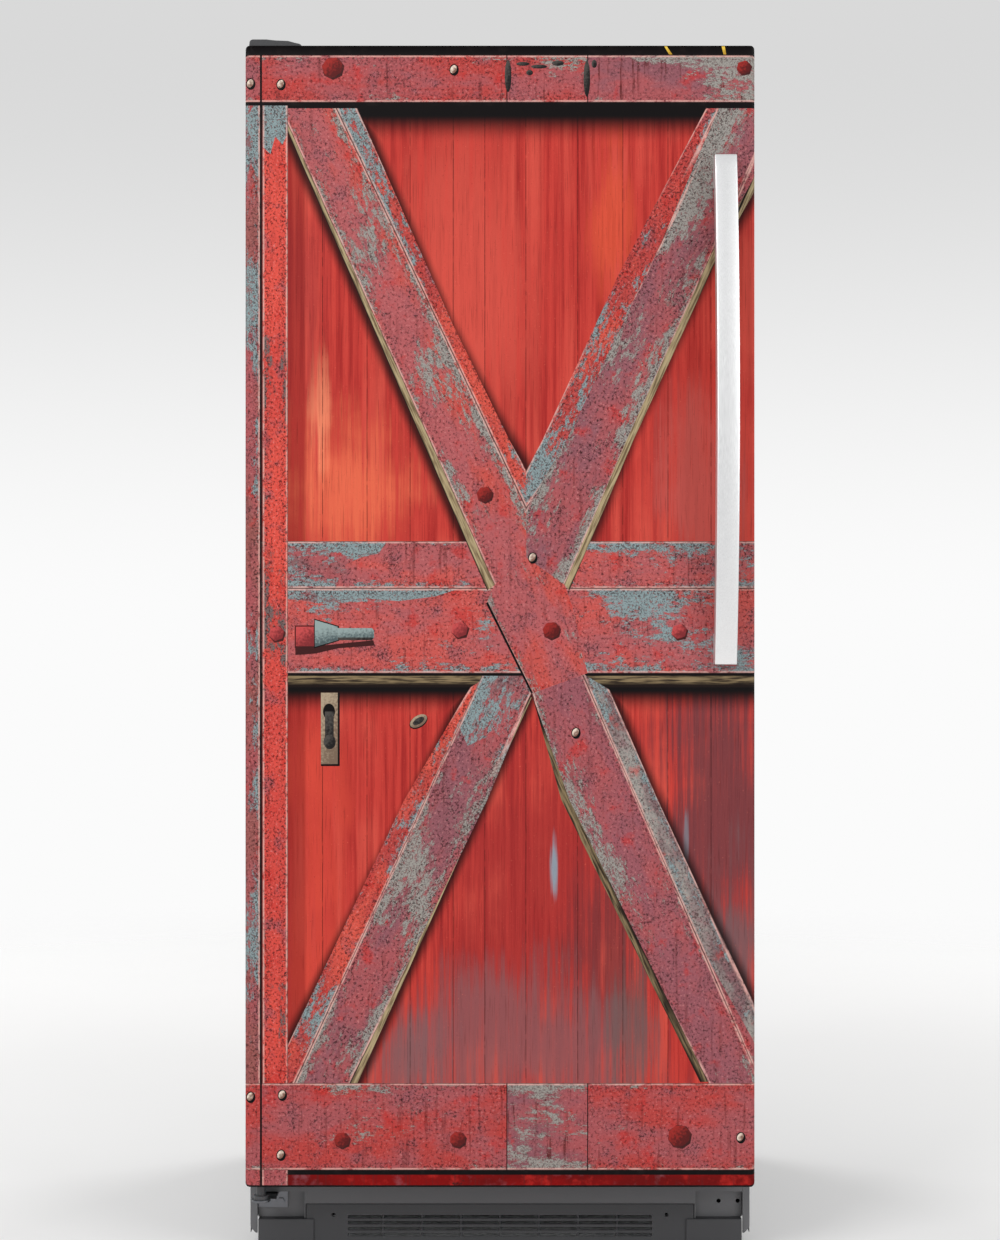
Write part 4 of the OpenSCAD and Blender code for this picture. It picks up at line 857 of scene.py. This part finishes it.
rust_head = head_finish("printed_rusty_bolt", srgb(150, 34, 28), srgb(82, 8, 8))
red_head = head_finish("printed_painted_bolt", srgb(188, 70, 70), srgb(120, 34, 38))
shadow_ink = head_finish("printed_bolt_shadow", srgb(84, 20, 20), srgb(54, 10, 10))
pale_head = head_finish("printed_pale_stud", srgb(232, 214, 196), srgb(120, 84, 70))
iron_ink = head_finish("printed_iron", srgb(138, 154, 152), srgb(70, 84, 86))
dark_iron = head_finish("printed_dark_iron", srgb(70, 66, 62), srgb(16, 12, 12))
plate_ink = head_finish("printed_plate", srgb(166, 148, 124), srgb(112, 92, 76))
yellow_ink = head_finish("printed_yellow", srgb(226, 190, 70), srgb(180, 140, 40))

for x, h, size, sides_of_head, ink in (
        (-249, 1663, 16, 7, rust_head), (-23, 1029, 12, 7, rust_head), (-235, 70, 12, 7, rust_head),
        (-63, 71, 12, 8, rust_head), (266, 76, 17, 8, rust_head), (76, 827, 13, 7, rust_head),
        (-332, 822, 12, 6, red_head), (-60, 828, 13, 6, red_head), (266, 825, 12, 6, red_head),
        (362, 1663, 11, 6, rust_head)):
    printed(oval(x + 1.2, h - 1.6, size * 1.08, size * 1.08, 12, sides_of_head), shadow_ink)
    printed(oval(x, h, size, size * 0.94, 20, sides_of_head), ink, 0.1, (x, h, size, size))
for x, h in ((-69, 1660), (-326, 1638), (-371, 1639), (48, 935), (112, 675), (357, 74), (-326, 48), (-324, 137),
             (-371, 134)):
    printed(oval(x + 0.8, h - 1.0, 7, 8.6), black_print)
    printed(oval(x, h, 4.6, 6.4, -25), pale_head, 0.1, (x, h, 6, 7))

# Rust marks of lost hardware on the top rail
for x, h, wide, tall in ((12, 1650, 5, 24), (129, 1646, 5, 27), (34, 1668, 10, 3), (58, 1664, 12, 3),
                         (86, 1669, 9, 4), (44, 1655, 5, 4), (140, 1668, 4, 6)):
    printed(oval(x, h, wide, tall), dark_iron, 0.04, (x, h, wide, tall))

# The latch: a red block, a tapered sleeve and its rod, over their shadow
printed([(-304, 800), (-188, 812), (-186, 804), (-240, 800), (-275, 792), (-304, 790)], shadow_ink, 0.03)
printed(rect(-305, -272, 800, 834), shadow_ink, 0.05)
printed(rect(-303, -275, 803, 832), red_head, 0.06, (-289, 817, 18, 16))
printed([(-276, 844), (-239, 833), (-239, 811), (-276, 800)], black_print, 0.07)
printed([(-275, 842), (-241, 832), (-241, 812), (-275, 802)], iron_ink, 0.08, (-258, 816, 60, 12))
printed([(-241, 830), (-190, 830), (-187, 826), (-187, 816), (-190, 812), (-241, 812)], iron_ink, 0.1,
        (-240, 816, 90, 9))
printed([(-241, 816), (-188, 816), (-190, 812), (-241, 812)], dark_iron, 0.12, (-215, 812, 40, 8))

# The keyhole plate, the tag and two slivers of yellow in the black band
printed(rect(-266, -238, 625, 734), black_print, 0.03)
printed(rect(-266, -241, 628, 734), plate_ink, 0.06, (-253, 680, 30, 70))
printed(oval(-254, 706, 9, 12), black_print, 0.08)
printed(rect(-260, -247, 655, 706), dark_iron, 0.09, (-253, 680, 20, 30))
printed(oval(-253, 661, 9, 11), dark_iron, 0.1, (-253, 661, 9, 11))
printed(oval(-121, 691, 15, 9, 32), black_print, 0.03)
printed(oval(-121, 692, 14, 8, 32), plate_ink, 0.06, (-121, 692, 12, 8))
printed(oval(-121, 692, 9.5, 4.5, 32), dark_iron, 0.09, (-121, 692, 14, 10))
printed([(244, 1694), (248, 1694), (256, 1682), (251, 1682)], yellow_ink, 0.06, (250, 1688, 6, 6))
printed([(329, 1694), (334, 1694), (336, 1682), (332, 1682)], yellow_ink, 0.06, (332, 1688, 6, 6))

ironwork = finished("film_ironwork", fittings, *fitting_inks)
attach(ironwork, "door")

# ---- Studio ----
# A round of pale grey paper for a floor, thinning out at its rim into a light surround, under two large soft
# lights in front and two behind.
floor_radius, floor_solid = 4.2, 1.7
paper, paper_tree, paper_shader, paper_place = new_finish("studio_paper", Roughness=0.7, Specular_IOR_Level=0.2)
paper_mottle = add(paper_tree, "TexNoise", {"Vector": paper_place, "Scale": 1.2, "Detail": 2.0}).outputs["Fac"]
paper_tree.links.new(blend_colour(paper_tree, paper_mottle, srgb(236, 235, 234), srgb(241, 240, 239)),
                     paper_shader.inputs["Base Color"])
paper_reach = add(paper_tree, "VectorMath", {0: paper_place}, operation="LENGTH").outputs["Value"]
paper_tree.links.new(fade(paper_tree, paper_reach, floor_solid, floor_radius - 0.2, 1.0, 0.0),
                     paper_shader.inputs["Alpha"])
floor_disc = bmesh.new()
bmesh.ops.create_circle(floor_disc, cap_ends=True, segments=96, radius=floor_radius)
finished("studio_floor", floor_disc, paper)

world = bpy.data.worlds.new("studio")
world.use_nodes = True
sky = world.node_tree
# Only the camera sees this surround. Its colour is painted light: near white at the horizon and greyer above it,
# a painted falloff of studio light. The scene itself is lit by an even grey.
sky_lift = add(sky, "SeparateXYZ", {"Vector": add(sky, "TexCoord").outputs["Generated"]}).outputs["Z"]
painted_falloff = blend_colour(sky, fade(sky, sky_lift, 0.0, 0.25), srgb(251, 251, 251), srgb(217, 217, 217))
lighting = blend_colour(sky, add(sky, "LightPath").outputs["Is Camera Ray"], (0.55, 0.555, 0.56, 1), painted_falloff)
sky.links.new(lighting, sky.nodes["Background"].inputs["Color"])
bpy.context.scene.world = world
for name, place_at, aim, size, power in (
        ("key", (-2.6, -3.4, 3.0), (0, -0.3, 1.0), (2.2, 2.2), 95),
        ("fill", (3.0, -3.2, 2.2), (0, -0.3, 0.9), (2.0, 2.6), 60),
        ("back_left", (-2.8, 3.0, 2.6), (0, 0.3, 0.8), (2.0, 2.0), 60),
        ("back_right", (2.8, 3.0, 2.6), (0, 0.3, 0.8), (2.0, 2.0), 60)):
    light = bpy.data.lights.new(name, "AREA")
    light.shape = "RECTANGLE"
    light.size, light.size_y, light.energy = size[0], size[1], power
    lamp_object = bpy.data.objects.new(name, light)
    lamp_object.location = place_at
    lamp_object.rotation_euler = (Vector(aim) - Vector(place_at)).to_track_quat("-Z", "Y").to_euler()
    lamp_object.visible_camera = False
    bpy.context.collection.objects.link(lamp_object)

camera = bpy.data.cameras.new("camera")
camera.sensor_fit = "HORIZONTAL"
camera.sensor_width = 36.0
camera.lens = 80.0
camera_object = bpy.data.objects.new("camera", camera)
camera_object.location = (0.0, -3.62, 0.954)
camera_object.rotation_euler = (math.radians(90), 0, 0)
bpy.context.collection.objects.link(camera_object)
scene = bpy.context.scene
scene.camera = camera_object
scene.view_settings.view_transform = "Standard"
